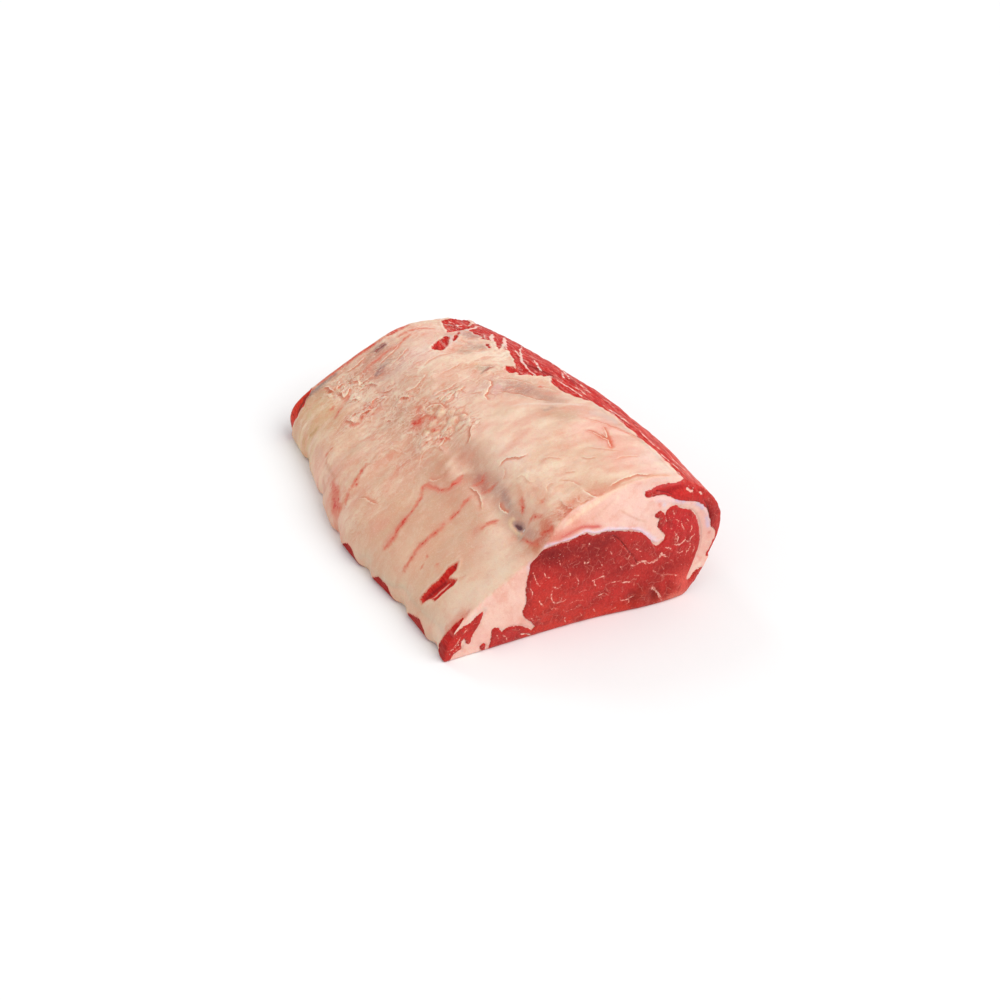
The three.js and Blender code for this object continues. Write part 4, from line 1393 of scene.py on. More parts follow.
# Fields of the lean's colour, with painted shade in the two deep hollows by the gristle:
LEAN_FIELDS_AND_SHADE = [  # on the near cut: centre x, z, half sizes, colour, strength
    (86, 74, 22, 10, (116, 10, 12), 0.85),
    (116, 64, 20, 15, (134, 18, 18), 0.75),
    (128, 76, 18, 8, (126, 14, 14), 0.7),
    (142, 42, 12, 10, (156, 28, 26), 0.6),
    # painted shade in the deep hollow
    (172, 9, 6, 9, (58, 2, 2), 1.0),
    (163, 12, 13, 11, (128, 20, 14), 0.85),
    (162, 16, 5, 5, (196, 62, 46), 0.8),
    # painted shade in the second hollow
    (153, 12, 3.5, 7, (92, 8, 8), 0.8),
    (187, 12, 5, 6, (150, 20, 14), 0.7),
    (192, 32, 14, 7, (140, 24, 20), 0.5),
    (118, 4, 60, 9, (216, 52, 30), 0.85),
    (84, 26, 16, 22, (216, 62, 46), 0.7),
    (110, 24, 22, 14, (206, 60, 48), 0.4),
    (190, 72, 18, 14, (204, 26, 34), 0.8),
    (192, 52, 16, 10, (204, 28, 30), 0.75),
    (190, 100, 26, 8, (220, 44, 42), 0.9),
    (222, 66, 4.5, 13, (132, 6, 10), 0.9),
    (214, 98, 8, 6, (214, 26, 24), 0.7),
    (188, 100, 14, 2.5, (150, 14, 20), 0.7),
    (228, 88, 7, 8, (228, 66, 48), 0.6),
    (10, 18, 16, 16, (210, 44, 38), 0.7),
    (48, 8, 14, 10, (190, 36, 36), 0.7),
    (200, 14, 8, 11, (230, 96, 84), 0.8),
    (192, 3, 12, 4, (236, 140, 118), 0.7),
    (211, 15, 3.5, 9, (196, 28, 24), 0.9),
]


# Painted shade of a slit in the shoulder, a dark line with no dent in the mesh:
SLIT_SHADE = [[169, 216], [174, 204], [178, 200], [182, 187]]  # in the shoulder, [x, y]
# Painted shade along the edge of the lean at the lip's far corner, a dark line:
FAR_CORNER_SHADE = [[3, 331], [7, 333], [11, 336], [16, 339]]  # in the lean at the lip's far corner
# Painted shade along the floor of the nick, as a dark strip:
NICK_SHADE_STRIP = [[5, 46.5], [12, 44], [19, 41.4]]  # the dark strip in the nick


def plain_colour(tint, points):
    """One colour for all the points."""
    return np.tile(srgb(*tint), (len(points), 1))


def painted(colour, *layers):
    """The points' colours with layers laid over them in turn: each a tint and its weight at each point."""
    for tint, weight in layers:
        weight = np.asarray(weight)[:, None]
        colour = colour * (1 - weight) + srgb(*tint) * weight
    return colour


def soft_lines(colour, xy, points, lines, seed):
    """The colours with soft stripes along the lines, whose width wanders."""
    wander = 1 + 0.45 * noise(points, 6, seed)
    for half_width, strength, tint, line in lines:
        found, off, share = near_line(line, xy, 3 * half_width + 2)
        ends = smooth(share * 6 + 0.3) * smooth((1 - share) * 6 + 0.3)
        weight = strength * ends * bell(off / (half_width * wander[found]))
        colour[found] = painted(colour[found], (tint, weight))
    return colour


def soft_fields(colour, u, v, fields):
    """The colours with soft ellipses laid over them."""
    return painted(colour, *((tint, strength * blob(u, v, spot)) for *spot, tint, strength in fields))


def with_cuts(skin, cut, points):
    """The skin's colours, and in their place the cuts' colours on the cuts."""
    share = np.maximum(*cut_share(points))[:, None]
    return skin * (1 - share) + cut * share


def fat_colour(points, relief):
    """The fat's colour at each point, before the material's fine texture."""
    x, y, z = points.T
    zone = zones(x, y)
    torn, rim = zone["torn"], zone["rim"]
    wobble = 6 * np.stack([noise(points, 26, 103), noise(points, 26, 104)], 1)
    calm = 1 - 0.65 * zone["slab"]
    flat = stretched(points * [1, 1, 0.3], 2, 1, FIBRES)
    fine = relief - mounds(x, y)
    # creases: where painted warm shade goes, in the sunken parts of the fine relief
    creases = np.clip(-0.1 - fine, 0, 1) * (0.4 + 0.45 * np.maximum(torn, rim))
    lump, rise = lump_fields(*wandering(points).T)
    pit = ellipse_share(x, y, PIT_HOLE)
    high = z > 40
    skin = soft_fields(plain_colour(FAT, points), x + wobble[:, 0], y + wobble[:, 1], FAT_FIELDS_AND_LIGHT)
    skin = painted(
        skin,
        ((230, 156, 134), np.clip(0.12 + 0.62 * layered(flat, 16, 101), 0, 0.75) * calm),
        ((250, 226, 200), np.clip(0.75 * layered(flat, 12, 105), 0, 0.75) * calm),
        ((212, 172, 140), np.clip(0.5 * layered(flat, 19, 107), 0, 0.5) * calm),
        ((230, 134, 100), 0.6 * rim * smooth(0.4 + noise(points, 7, 109))),
        # painted warm shade in the creases
        ((222, 126, 96), creases),
        # painted highlight where the fine relief stands up
        ((254, 232, 208), np.clip((fine - 0.2) * (0.35 + 0.4 * torn), 0, 0.6)),
    )
    # stains, with painted shade and painted highlights among them
    skin = soft_lines(skin, wandering(points), points, STAINS_SHADE_AND_HIGHLIGHTS, 111)
    skin = painted(
        skin,
        # the lumps' cream, lighter on their tops: their own colour with painted light
        ((242, 210, 174), 0.7 * np.clip(rise, 0, 1) * high),
        # painted warm shade in the gaps round the lumps
        ((212, 112, 78), 0.65 * bell((lump - 1.1) / 0.25) * high),
        ((240, 208, 170), 0.8 * bell((pit - 1.7) / 0.45) * (x < 77) * high),
    )
    at_near = cut_share(points)[0] > 0
    cut = plain_colour(CUT_FAT, points)
    cut = painted(cut, ((238, 182, 168), np.clip(0.3 + 0.5 * noise(points, 14, 115), 0, 0.8)))
    cut[at_near] = soft_fields(cut[at_near], x[at_near], z[at_near], CUT_FAT_FIELDS)
    cut[at_near] = soft_lines(cut[at_near], points[at_near][:, [0, 2]], points[at_near], CUT_STAINS_AND_HIGHLIGHT, 117)
    return with_cuts(skin * WARMER, cut, points)


def film_share(points):
    """How much film and fibre shows on the bare lean: most on the shoulder, none in its slit's painted
    shade.
    """
    x, y, z = points.T
    near_end = 0.5 + 0.5 * smooth((165 - y) / 60)
    upper = 0.3 + 0.7 * smooth((z - 50) / 30)
    slit = bell(distance_to(SLIT_SHADE, points[:, :2]) / 4.5)
    return smooth((x - 60) / 40) * near_end * upper * (1 - slit)


def lean_colour(points):
    """The lean's colour at each point, before the material's fine texture."""
    x, y, z = points.T
    xy = points[:, :2]
    filmed = layered(stretched(points, 40, 7, (0, 1, 0)), 1, 121)
    filmed = filmed + 0.7 * smooth((150 - y) / 60) * smooth((z - 60) / 20)
    far_corner = smooth((34 - x) / 10) * smooth((y - 310) / 10)
    hollow = distance_to(FAR_CORNER_SHADE, xy) + 1.5 * noise(points, 4, 127)
    nick = spot_depth(points, ["nick"])
    side = painted(
        plain_colour(SIDE_LEAN, points),
        ((222, 102, 92), np.clip(0.6 * filmed - 0.05, 0, 0.8)),
        ((140, 16, 18), 0.8 * smooth((84 - z) / 34) * (x > 150)),
        # painted shade of the shoulder's slit
        ((150, 0, 0), 0.95 * bell(distance_to(SLIT_SHADE, xy) / 3.0) * (z > 60)),
        ((226, 48, 16), 0.95 * far_corner),
        # painted shade along the edge of the far corner's lean
        ((84, 28, 14), 0.8 * bell(hollow / 1.3) * far_corner),
        ((160, 34, 30), 0.7 * smooth((16 - z) / 6) * smooth((60 - x) / 10)),
        ((220, 62, 46), smooth(nick + 1.5)),
        ((206, 26, 22), 0.9 * smooth((nick + 0.6 * noise(points, 4, 129) - 0.5) / 1.2)),
        # painted shade in the nick's floor
        ((122, 8, 12), 0.75 * bell(distance_to(NICK_SHADE_STRIP, xy) / 1.5) * (nick > 0.3)),
    )
    at_near = cut_share(points)[0] > 0
    cut = plain_colour(CUT_LEAN, points)
    cut = painted(cut, ((164, 32, 28), np.clip(0.4 * noise(points, 22, 125) + 0.2, 0, 0.7)))
    cut[at_near] = soft_fields(cut[at_near], x[at_near], z[at_near], LEAN_FIELDS_AND_SHADE)
    return with_cuts(side, cut, points)


# Turns a place on the far cut into one on the near cut: scaled about x = low, and up.
FAR_TO_NEAR = {"low": 62, "scale": (153 / 126, 86 / 66)}
STRAND_WIDTH = 0.7  # of the width that MARBLING gives


def marbling_distance(points):
    """Distance to the nearest strand of marbling on a cut, less its half width, in mm."""
    near, far = cut_share(points)
    xz = points[:, [0, 2]]
    low = [FAR_TO_NEAR["low"], 0]
    strands = [(STRAND_WIDTH * half_width, line) for half_width, line in MARBLING]
    best = np.full(len(points), FILM_AWAY)
    for there, spots in ((near > 0.5, xz), (far > 0.5, (xz - low) * FAR_TO_NEAR["scale"] + low)):
        best[there] = edge_distance(strands, spots[there], FILM_AWAY, 5, 0.2, steps=1)
    return best


FLAKINESS = {"flaky": 1, "crumpled": 0.2, "mid": 0.6, "left": 0.3}  # of each zone's tissue


def paint(mesh):
    """Writes what the shared material reads at each of the mesh's points."""
    points = points_of(mesh)
    x, y, z = points.T
    flap_distance, flap_weight, flap_height = flap_fields(points)
    relief = skin_relief(points, flap_height)
    zone = zones(x, y)
    near, far = cut_share(points)
    on_skin = 1 - np.maximum(near, far)
    on_top = on_skin * smooth((z - 12) / 12)
    flaky = np.maximum.reduce([share * zone[name] for name, share in FLAKINESS.items()])
    values = {
        "lean": lean_depth(points),
        "marble": np.where(on_skin < 0.5, marbling_distance(points), film_distance(points)),
        "cut": 1 - on_skin,
        "flap": flap_distance,
        "flap_weight": flap_weight,
        "vein": vein_depth(points) * on_skin - AWAY * (1 - on_skin),
        "flaky": flaky * on_top,
        "torn": np.maximum(zone["torn"], 0.4 * zone["rim"]) * on_top,
        "filmed": film_share(points),
        "slit": np.where(near > 0.5, slit_distance(points[:, [0, 2]]), AWAY),
    }
    for name, value in values.items():
        mesh.attributes.new(name, "FLOAT", "POINT").data.foreach_set("value", value.astype(np.float32))
    colours = {"fat_paint": fat_colour(points, relief), "lean_paint": lean_colour(points)}
    for name, colour in colours.items():
        with_alpha = np.ones((len(points), 4), np.float32)
        with_alpha[:, :3] = np.clip(colour, 0, 1)
        mesh.attributes.new(name, "FLOAT_COLOR", "POINT").data.foreach_set("color", with_alpha.ravel())


# ---------------------------------------------------------------- material

STREAK_ANGLE = math.radians(3)  # how far the fat's streaks turn from the X axis
ELLIPSE_HEIGHT = 30  # half height in mm of the flat ellipses that the material draws
ROUGHNESS = {"fat": 0.44, "side": 0.58, "cut": 0.4}  # side: the lean's outer sides
COAT = {"fat": 0.2, "cut": 0.1}  # the wet gleam, which the lean's outer sides lack
COAT_ROUGHNESS = 0.22
SPECULAR_LEVEL = 0.14
SUBSURFACE = {"Subsurface Weight": 0.3, "Subsurface Radius": (1.0, 0.35, 0.2), "Subsurface Scale": 0.003}
BUMP_STRENGTH = 0.8


class Nodes:
    """Short ways to add shader nodes to one material."""

    def __init__(self, name):
        self.material = bpy.data.materials.new(name)
        self.material.use_nodes = True
        self.tree = self.material.node_tree
        self.shader = self.tree.nodes["Principled BSDF"]

    def add(self, kind, inputs=None, **settings):
        node = self.tree.nodes.new(kind)
        for key, value in settings.items():
            setattr(node, key, value)
        for key, value in (inputs or {}).items():
            self.feed(node.inputs[key], value)
        return node

    def feed(self, socket, value):
        if isinstance(value, bpy.types.NodeSocket):
            self.tree.links.new(value, socket)
        else:
            socket.default_value = value

    def attribute(self, name, output="Fac"):
        return self.add("ShaderNodeAttribute", attribute_name=name).outputs[output]

    def millimetres(self):
        """The place on the object, in mm."""
        return self.scaled(self.add("ShaderNodeTexCoord").outputs["Object"], (1 / MM, 1 / MM, 1 / MM))

    def math(self, operation, a, b=0.0):
        return self.add("ShaderNodeMath", {0: a, 1: b}, operation=operation).outputs[0]

    def vectors(self, operation, *values):
        return self.add("ShaderNodeVectorMath", dict(enumerate(values)), operation=operation).outputs

    def minus(self, a, b):
        return self.math("SUBTRACT", a, b)

    def most(self, a, b):
        return self.math("MAXIMUM", a, b)

    def joined(self, operation, values):
        total = values[0]
        for value in values[1:]:
            total = self.math(operation, total, value)
        return total

    def times(self, *values):
        return self.joined("MULTIPLY", values)

    def plus(self, *values):
        return self.joined("ADD", values)

    def ramp(self, value, low, high, out_low=0.0, out_high=1.0, kind="SMOOTHSTEP"):
        inputs = {"Value": value, "From Min": low, "From Max": high, "To Min": out_low, "To Max": out_high}
        return self.add("ShaderNodeMapRange", inputs, interpolation_type=kind).outputs["Result"]

    def peak(self, value, middle, width):
        """1 where the value is the middle, falling smoothly to 0 at width from it."""
        return self.ramp(self.math("ABSOLUTE", self.minus(value, middle)), 0, width, 1.0, 0.0)

    def mix(self, share, a, b):
        """Colour a where the share is 0 and colour b where it is 1."""
        return self.add("ShaderNodeMix", {0: share, 6: a, 7: b}, data_type="RGBA").outputs[2]

    def blend(self, share, a, b):
        """Value a where the share is 0 and value b where it is 1."""
        return self.add("ShaderNodeMix", {0: share, 2: a, 3: b}).outputs[0]

    def painted(self, colour, *layers):
        """The colour with layers laid over it in turn: each a share and a tint."""
        for share, tint in layers:
            colour = self.mix(share, colour, rgba(*tint))
        return colour

    def noise(self, vector, size, detail=2.0, roughness=0.5, distortion=0.0):
        inputs = {
            "Vector": vector, "Scale": 1 / size, "Detail": detail, "Roughness": roughness,
            "Distortion": distortion,
        }
        return self.add("ShaderNodeTexNoise", inputs).outputs["Fac"]

    def swing(self, vector, size, reach, detail=2.0):
        """Noise from -reach to reach."""
        return self.ramp(self.noise(vector, size, detail), 0, 1, -reach, reach, "LINEAR")

    def cells(self, vector, size, feature="F1"):
        """The distance to the nearest cell's middle or, for DISTANCE_TO_EDGE, to its edge."""
        inputs = {"Vector": vector, "Scale": 1 / size}
        return self.add("ShaderNodeTexVoronoi", inputs, feature=feature).outputs["Distance"]

    def scaled(self, vector, factors):
        return self.vectors("MULTIPLY", vector, factors)[0]

    def warped(self, vector, size, reach):
        """The vector pushed about by a noise, so that what is drawn with it flows."""
        inputs = {"Vector": vector, "Scale": 1 / size, "Detail": 2.0}
        random = self.add("ShaderNodeTexNoise", inputs).outputs["Color"]
        push = self.vectors("SUBTRACT", random, (0.5, 0.5, 0.5))[0]
        return self.vectors("ADD", vector, self.scaled(push, (2 * reach, 2 * reach, 2 * reach)))[0]

    def ellipse(self, vector, ellipse):
        """0 in the middle of a flat ellipse on the top, 1 on its edge."""
        x, y, z, along, across, turn = ellipse
        place = np.array([x, y, z]) - FOOTPRINT_MIDDLE
        inputs = {
            "Vector": vector, "Location": place, "Rotation": (0, 0, math.radians(turn)),
            "Scale": (along, across, ELLIPSE_HEIGHT),
        }
        local = self.add("ShaderNodeMapping", inputs, vector_type="TEXTURE").outputs["Vector"]
        return self.vectors("LENGTH", local)["Value"]

    def drawn_out(self, vector, angles, factors):
        """The vector turned and then scaled, so that noise of it lies along a direction."""
        inputs = {"Vector": vector, "Rotation": angles, "Scale": factors}
        return self.add("ShaderNodeMapping", inputs, vector_type="TEXTURE").outputs["Vector"]


def rgba(*colour):
    """A colour given in the usual 0 to 255, as a shader's linear colour."""
    return (*srgb(*colour), 1.0)


def terraces(n, vector, size, count):
    """Overlapping sheets along a noise's contours: their height, their lifted edges and the gaps below."""
    level = n.math("FRACT", n.times(n.noise(vector, size, 2.5, 0.5, 0.7), count))
    height = n.minus(n.ramp(level, 0.0, 0.14), level)
    return height, n.peak(level, 0.17, 0.17), n.ramp(level, 0.76, 0.98)


def fat_look(n, mm, cut):
    """The fat's colour and height in mm."""
    skin = n.minus(1.0, cut)
    flaky = n.attribute("flaky")
    torn = n.attribute("torn")
    loose = n.most(torn, n.times(flaky, 0.6))
    busy = n.most(n.ramp(flaky, 0, 0.7, 0.4, 1.0), n.times(cut, 0.6))
    warped = n.warped(n.warped(mm, 40, 12), 9, 3.5)
    ragged = n.warped(mm, 3.4, 1.3)
    turn = (0, 0, STREAK_ANGLE)
    short = n.drawn_out(warped, turn, (1.8, 1.0, 2.4))
    # blotches, streaks and grain
    mottle = n.noise(short, 8, 5, 0.62)
    blots = n.noise(ragged, 4.5, 3, 0.6)
    streak = n.noise(n.drawn_out(warped, turn, (5.0, 1.0, 7.0)), 2.2, 4, 0.6)
    some = n.ramp(n.noise(mm, 24, 2), 0.44, 0.6, 0.05, 1.0)
    streaky = n.times(skin, some, n.ramp(flaky, 0, 0.5, 0.15, 1.0))
    grain = n.noise(mm, 0.9, 2)
    # torn sheets and flakes with painted highlights on their edges and painted shade below, threads, flecks
    # of red
    # the sheets' lifted edges get a painted highlight and the gaps below them painted shade
    sheet, sheet_lip_highlight, sheet_gap_shade = terraces(n, ragged, 13, 3.4)
    crinkle = n.math("ABSOLUTE", n.swing(short, 6, 2.0, 3))
    threads = n.times(n.ramp(crinkle, 0.32, 0.0), n.most(torn, n.times(flaky, 0.35)))
    flake_place = n.drawn_out(n.warped(warped, 3.0, 2.2), turn, (1.9, 1.0, 1.2))
    flake = n.cells(flake_place, 5.5, "DISTANCE_TO_EDGE")
    patchy = n.times(n.ramp(n.noise(mm, 8, 3, 0.6), 0.47, 0.6), loose)
    # the flakes' raised edges get a painted highlight, and the strip just below them painted shade
    flake_lip = n.times(n.ramp(flake, 0.1, 0.01), patchy)
    flake_gap_shade = n.times(n.peak(flake, 0.17, 0.1), patchy)
    flecks = n.times(n.ramp(n.noise(mm, 4, 3, 0.65), 0.58, 0.66), n.most(torn, n.times(flaky, 0.3)))
    # the edge towards the lean, veins, the named flaps with painted highlight and shade, and the pit's
    # painted shade
    to_lean = n.attribute("lean")
    # edge: the cream of the fat's rolled edge towards the lean, with a painted highlight on it
    edge = n.times(n.ramp(to_lean, -3.0, -0.6), skin, n.ramp(flaky, 0, 0.4, 0.1, 1.0))
    edge_glow = n.times(n.peak(to_lean, -0.3, 1.1), skin)
    vein = n.plus(n.attribute("vein"), n.swing(warped, 2.6, 2.4, 4))
    core = n.times(n.ramp(vein, 0.0, 1.4), n.ramp(n.noise(mm, 4.5, 3, 0.6), 0.42, 0.58, 0.15, 1.0))
    flaps = n.plus(n.attribute("flap"), n.swing(mm, 1.8, 0.9))
    flap_weight = n.attribute("flap_weight")
    # lip: painted highlight along a flap's edge; pocket: painted shade under it
    lip = n.times(n.peak(flaps, 0.55, 0.8), flap_weight)
    pocket = n.times(n.ramp(flaps, -3.4, -0.1), n.ramp(flaps, 0.35, -0.15), flap_weight)
    # pit: painted shade in the pit, a greyer halo round a dark core, and a painted glint beside it
    pit = n.plus(n.ellipse(mm, PIT_HOLE), n.swing(mm, 2.5, 0.25))
    colour = n.painted(
        n.attribute("fat_paint", "Color"),
        (n.times(n.ramp(mottle, 0.5, 0.68, 0, 0.6), busy), (226, 140, 112)),
        (n.times(n.ramp(mottle, 0.46, 0.3, 0, 0.45), busy), (252, 232, 206)),
        (n.times(n.ramp(blots, 0.54, 0.66, 0, 0.3), busy), (226, 148, 122)),
        (n.times(n.ramp(blots, 0.42, 0.32, 0, 0.25), busy), (252, 230, 202)),
        (n.times(n.ramp(streak, 0.52, 0.68, 0, 0.5), streaky), (224, 136, 110)),
        (n.times(n.ramp(streak, 0.46, 0.3, 0, 0.55), streaky), (255, 234, 208)),
        (n.ramp(grain, 0.54, 0.74, 0, 0.22), (255, 238, 216)),
        (n.ramp(grain, 0.46, 0.28, 0, 0.2), (216, 148, 120)),
        # painted shade in the gaps under the torn sheets, and painted highlights on their edges (next line)
        (n.times(sheet_gap_shade, torn, 0.8), (214, 104, 72)),
        (n.times(sheet_lip_highlight, torn, 0.85), (252, 230, 202)),
        (n.times(threads, 0.6), (252, 230, 204)),
        # painted shade below the flakes' edges, and painted highlights on them (next line)
        (n.times(flake_gap_shade, 0.55), (216, 116, 84)),
        (n.times(flake_lip, 0.7), (253, 232, 206)),
        (n.times(flecks, 0.7), (218, 98, 70)),
        # the rolled edge's cream, partly painted highlight
        (n.times(edge, 0.35), (255, 234, 214)),
        (n.times(edge_glow, 0.45), (226, 104, 82)),
        (n.ramp(vein, -2.4, 0.8, 0, 0.7), (226, 116, 90)),
        (n.times(core, 0.85), (214, 52, 36)),
        # painted shade under the flaps' edges, and painted highlights on them (next line)
        (n.times(pocket, 0.75), (212, 104, 70)),
        (n.times(lip, 0.75), (253, 232, 206)),
        # painted shade in the pit: halo and core; then a painted glint
        (n.ramp(pit, 1.5, 0.8, 0, 0.7), (176, 136, 130)),
        (n.ramp(pit, 0.95, 0.4), (116, 74, 76)),
        (n.ramp(n.ellipse(mm, PIT_GLINT), 1.1, 0.5, 0, 0.8), (236, 226, 222)),
    )
    ripple = n.plus(n.times(n.noise(mm, 2.6, 5, 0.6), 0.26), n.times(n.noise(mm, 0.8, 3), 0.07))
    height = n.plus(
        n.times(sheet, torn, 0.6),
        n.times(threads, 0.3),
        n.times(mottle, busy, -0.5),
        n.times(ripple, n.ramp(flaky, 0, 1, 0.6, 1.0)),
        n.times(streak, streaky, -0.14),
        n.times(n.ramp(flaps, -0.3, 0.3), n.ramp(flaps, 3.0, 0.3), flap_weight, 0.35),
        n.times(blots, busy, -0.3),
        n.times(flake_lip, 0.3),
        n.times(n.ramp(vein, -0.5, 0.5), -0.2),
    )
    return colour, height


def side_look(n, mm):
    """The colour and height in mm of the lean's outer sides, whose fibres run along the roast."""
    filmed = n.attribute("filmed")
    fibrous = n.ramp(filmed, 0, 0.14, 0.25, 1.0)
    broad = n.noise(n.scaled(mm, (1, 0.12, 1)), 5, 3, 0.6)
    streak = n.noise(n.scaled(mm, (1, 0.07, 1)), 1.5, 3, 0.6)
    mottle = n.noise(n.scaled(mm, (1, 0.3, 1)), 2.2, 4, 0.65)
    film_noise = n.noise(n.scaled(n.warped(mm, 8, 4), (1, 0.1, 1)), 4.5, 4, 0.6)
    film = n.times(n.ramp(film_noise, 0.55, 0.66), filmed)
    specks = n.times(n.ramp(n.noise(n.scaled(mm, (1, 0.4, 1)), 1.3, 2, 0.6), 0.68, 0.74), filmed)
    sheet = n.ramp(n.plus(n.attribute("marble"), n.swing(mm, 5, 1.6, 5)), 0.5, -0.5)
    nick_line = n.plus(n.ellipse(mm, NICK_LINE), n.swing(mm, 1.5, 0.3))
    colour = n.painted(
        n.attribute("lean_paint", "Color"),
        (n.ramp(broad, 0.44, 0.3, 0, 0.65), (150, 16, 22)),
        (n.times(n.ramp(streak, 0.46, 0.34, 0, 0.5), fibrous), (146, 14, 20)),
        (n.times(n.ramp(streak, 0.54, 0.7, 0, 0.65), fibrous), (236, 130, 114)),
        (n.ramp(mottle, 0.5, 0.34, 0, 0.55), (150, 12, 16)),
        (n.times(n.ramp(mottle, 0.54, 0.68, 0, 0.45), fibrous), (238, 138, 122)),
        (n.times(film, 0.68), (242, 190, 176)),
        (n.times(specks, 0.55), (250, 214, 198)),
        (n.times(sheet, 0.85), (250, 216, 202)),
        (n.ramp(nick_line, 1.3, 0.7, 0, 0.9), (244, 160, 142)),
    )
    height = n.plus(
        n.times(streak, fibrous, 0.9), n.times(film, 0.15), n.times(broad, 0.7), n.times(sheet, 0.3)
    )
    return colour, height


def cut_look(n, mm):
    """The colour and height in mm of the lean where it is cut across its fibres."""
    fibres = n.plus(n.cells(mm, 1.25), n.swing(mm, 1.0, 0.2))
    bundles = n.cells(n.drawn_out(mm, (0, 0.15, 0), (1.0, 1.0, 1.6)), 6.5, "DISTANCE_TO_EDGE")
    upright = n.noise(n.drawn_out(mm, (0, 0.12, 0), (1.0, 1.0, 7.0)), 1.5, 3, 0.6)
    between = n.times(n.ramp(bundles, 0.06, 0.0), n.ramp(n.noise(mm, 5, 2), 0.5, 0.66, 0, 0.3))
    # flecks: pale specks of fat in the lean, and painted wet glints
    flecks = n.times(n.ramp(n.cells(mm, 3.0), 0.15, 0.06), n.ramp(n.noise(mm, 7, 2), 0.46, 0.56, 0.1, 1.0))
    grain = n.ramp(n.noise(n.drawn_out(mm, (0, 0.2, 0), (1.0, 1.0, 2.4)), 0.9, 2), 0.5, 0.7)
    slit = n.peak(n.plus(n.attribute("slit"), n.swing(mm, 3, 0.3)), 0.0, 0.7)
    web = n.ramp(n.cells(n.warped(mm, 7, 2.6), 7.0, "DISTANCE_TO_EDGE"), 0.05, 0.0)
    web = n.times(web, n.ramp(n.noise(mm, 9, 3, 0.6), 0.52, 0.62))
    marble = n.plus(n.attribute("marble"), n.swing(mm, 1.6, 1.5, 4))
    strand = n.times(n.ramp(marble, 0.25, -0.3), n.ramp(n.noise(mm, 2.6, 2), 0.4, 0.56, 0.15, 1.0))
    colour = n.painted(
        n.attribute("lean_paint", "Color"),
        (n.ramp(n.noise(mm, 9, 3, 0.55), 0.46, 0.68, 0, 0.5), (134, 20, 18)),
        (n.ramp(n.noise(mm, 4.5, 3, 0.6), 0.52, 0.74, 0, 0.4), (216, 66, 50)),
        (n.ramp(upright, 0.55, 0.75, 0, 0.35), (124, 14, 14)),
        (n.ramp(fibres, 0.35, 0.75, 0, 0.25), (128, 14, 14)),
        (between, (214, 92, 78)),
        # pale specks of fat and painted glints
        (n.times(flecks, 0.7), (240, 176, 162)),
        (n.times(grain, 0.16), (228, 104, 88)),
        (n.times(slit, 0.8), (92, 16, 16)),
        (n.times(web, 0.35), (236, 146, 128)),
        (n.ramp(marble, 0.9, -0.2, 0, 0.3), (214, 92, 78)),
        (n.times(strand, 0.85), (244, 190, 172)),
    )
    height = n.plus(
        n.times(n.noise(mm, 2.4, 4, 0.6), 0.35), n.times(fibres, -0.12), n.times(upright, 0.15),
        n.times(strand, 0.1),
    )
    return colour, height


def meat_material():
    """The look of fat and lean, which the points' values tell apart."""
    n = Nodes("meat")
    inputs = n.shader.inputs
    mm = n.millimetres()
    cut = n.attribute("cut")
    lean = n.ramp(n.plus(n.attribute("lean"), n.swing(mm, 1.6, 0.9, 3)), -0.25, 0.25)
    fat, fat_height = fat_look(n, mm, cut)
    side, side_height = side_look(n, mm)
    bare, bare_height = cut_look(n, mm)
    n.feed(inputs["Base Color"], n.mix(lean, fat, n.mix(cut, side, bare)))
    lean_roughness = n.blend(cut, ROUGHNESS["side"], ROUGHNESS["cut"])
    n.feed(inputs["Roughness"], n.blend(lean, ROUGHNESS["fat"], lean_roughness))
    n.feed(inputs["Specular IOR Level"], SPECULAR_LEVEL)
    for name, value in SUBSURFACE.items():
        n.feed(inputs[name], value)
    n.feed(inputs["Coat Weight"], n.blend(lean, COAT["fat"], n.times(cut, COAT["cut"])))
    n.feed(inputs["Coat Roughness"], COAT_ROUGHNESS)
    height = n.blend(lean, fat_height, n.blend(cut, side_height, bare_height))
    bump = n.add("ShaderNodeBump", {"Height": height, "Distance": MM, "Strength": BUMP_STRENGTH})
    n.feed(inputs["Normal"], bump.outputs["Normal"])
    return n.material


# ---------------------------------------------------------------- pieces

SHARP_FROM = math.radians(50)  # edges that turn by more than this stay sharp
ROW_MATRIX = Matrix.Scale(MM, 4) @ Matrix.Translation(Vector(-FOOTPRINT_MIDDLE))
MUSCLES = {"eye": EYE, "cap": CAP, "lip": LIP, "flank": FLANK}


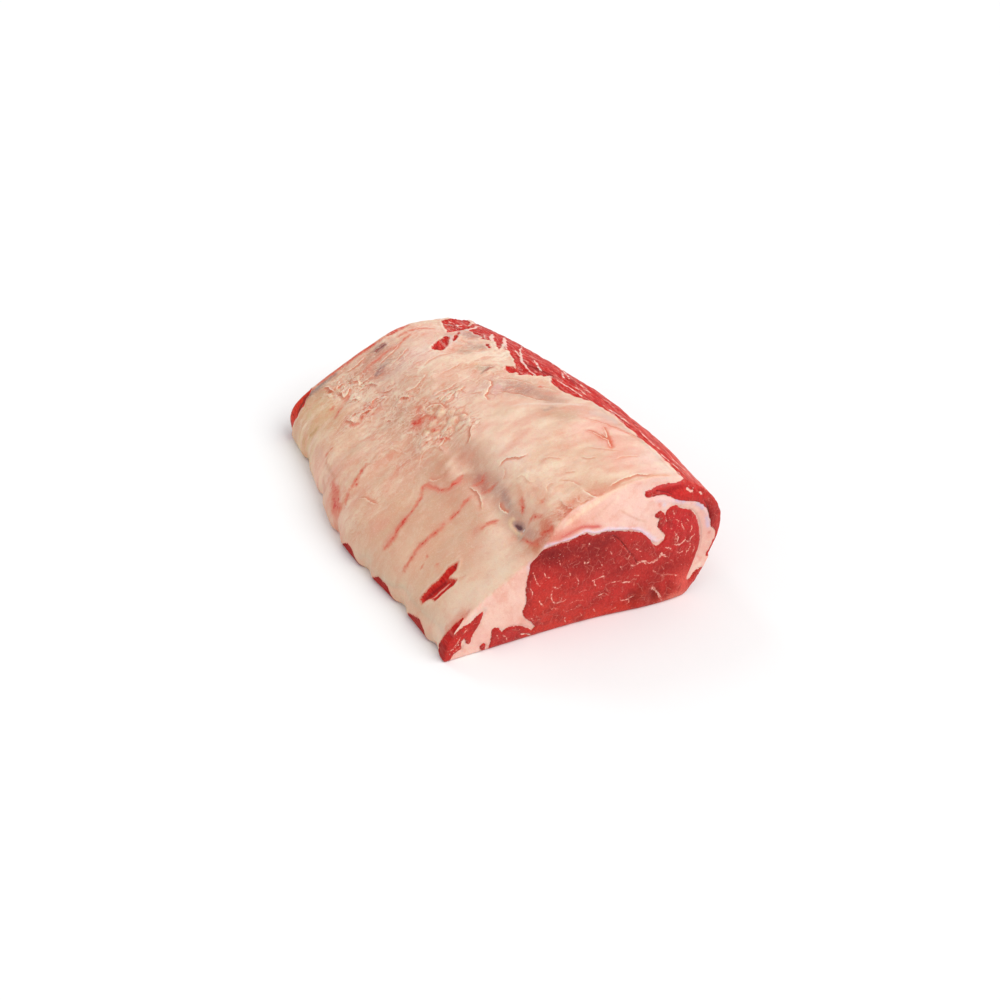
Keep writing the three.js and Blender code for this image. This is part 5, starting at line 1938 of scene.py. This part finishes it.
def finish_piece(name, mesh, node, material):
    mesh = without_scraps(mesh)
    mesh.name = name
    paint(mesh)
    mesh.transform(ROW_MATRIX)
    mesh.polygons.foreach_set("use_smooth", [True] * len(mesh.polygons))
    mesh.set_sharp_from_angle(angle=SHARP_FROM)
    mesh.materials.clear()
    mesh.materials.append(material)
    piece = bpy.data.objects.new(name, mesh)
    bpy.context.scene.collection.objects.link(piece)
    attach(piece, "root")
    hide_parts(node)
    return piece


meat = meat_material()
body = body_object()
fat = body.copy()
bpy.context.scene.collection.objects.link(fat)
for name, outline in MUSCLES.items():
    tube = muscle_object(outline)
    muscle = combined(body, tube, "INTERSECT")
    fat.data = combined(fat, tube, "DIFFERENCE")
    finish_piece(name + "_meat", muscle, name + "_muscle", meat)
    bpy.data.objects.remove(tube)
finish_piece("fat_cover_skin", fat.data, "fat_cover", meat)
bpy.data.objects.remove(fat)
bpy.data.objects.remove(body)

# ---------------------------------------------------------------- floor and light

FLOOR_SIZE = 6.0  # metres
FLOOR_TONES = ((250, 250, 250), (252, 252, 252))
SKY_STRENGTH = 0.6
# Soft suns: the direction they shine from, strength and how wide they look from the part.
SUNS = {
    "key": ((0.55, -0.5, 0.85), 1.8, math.radians(45)),
    "glints": ((-0.1, 0.75, 0.7), 0.25, math.radians(14)),
}


def floor_material():
    """A nearly white, plain ground."""
    n = Nodes("floor")
    tone = n.mix(n.noise(n.millimetres(), 60, 3), *(rgba(*tone) for tone in FLOOR_TONES))
    n.feed(n.shader.inputs["Base Color"], tone)
    n.feed(n.shader.inputs["Roughness"], 0.7)
    n.feed(n.shader.inputs["Specular IOR Level"], 0.2)
    return n.material


half = FLOOR_SIZE / 2
corners = [(-half, -half, 0), (half, -half, 0), (half, half, 0), (-half, half, 0)]
floor = new_object("floor", corners, [(0, 1, 2, 3)])
floor.data.materials.append(floor_material())

world = bpy.data.worlds.new("studio")
world.use_nodes = True
background = world.node_tree.nodes["Background"]
background.inputs["Color"].default_value = (1.0, 1.0, 1.0, 1.0)
background.inputs["Strength"].default_value = SKY_STRENGTH
bpy.context.scene.world = world

for name, (towards, strength, spread) in SUNS.items():
    lamp = bpy.data.lights.new(name, "SUN")
    lamp.energy = strength
    lamp.angle = spread
    sun = bpy.data.objects.new(name, lamp)
    sun.rotation_euler = Vector(towards).to_track_quat("Z", "Y").to_euler()
    bpy.context.scene.collection.objects.link(sun)

bpy.context.scene.view_settings.view_transform = "Standard"
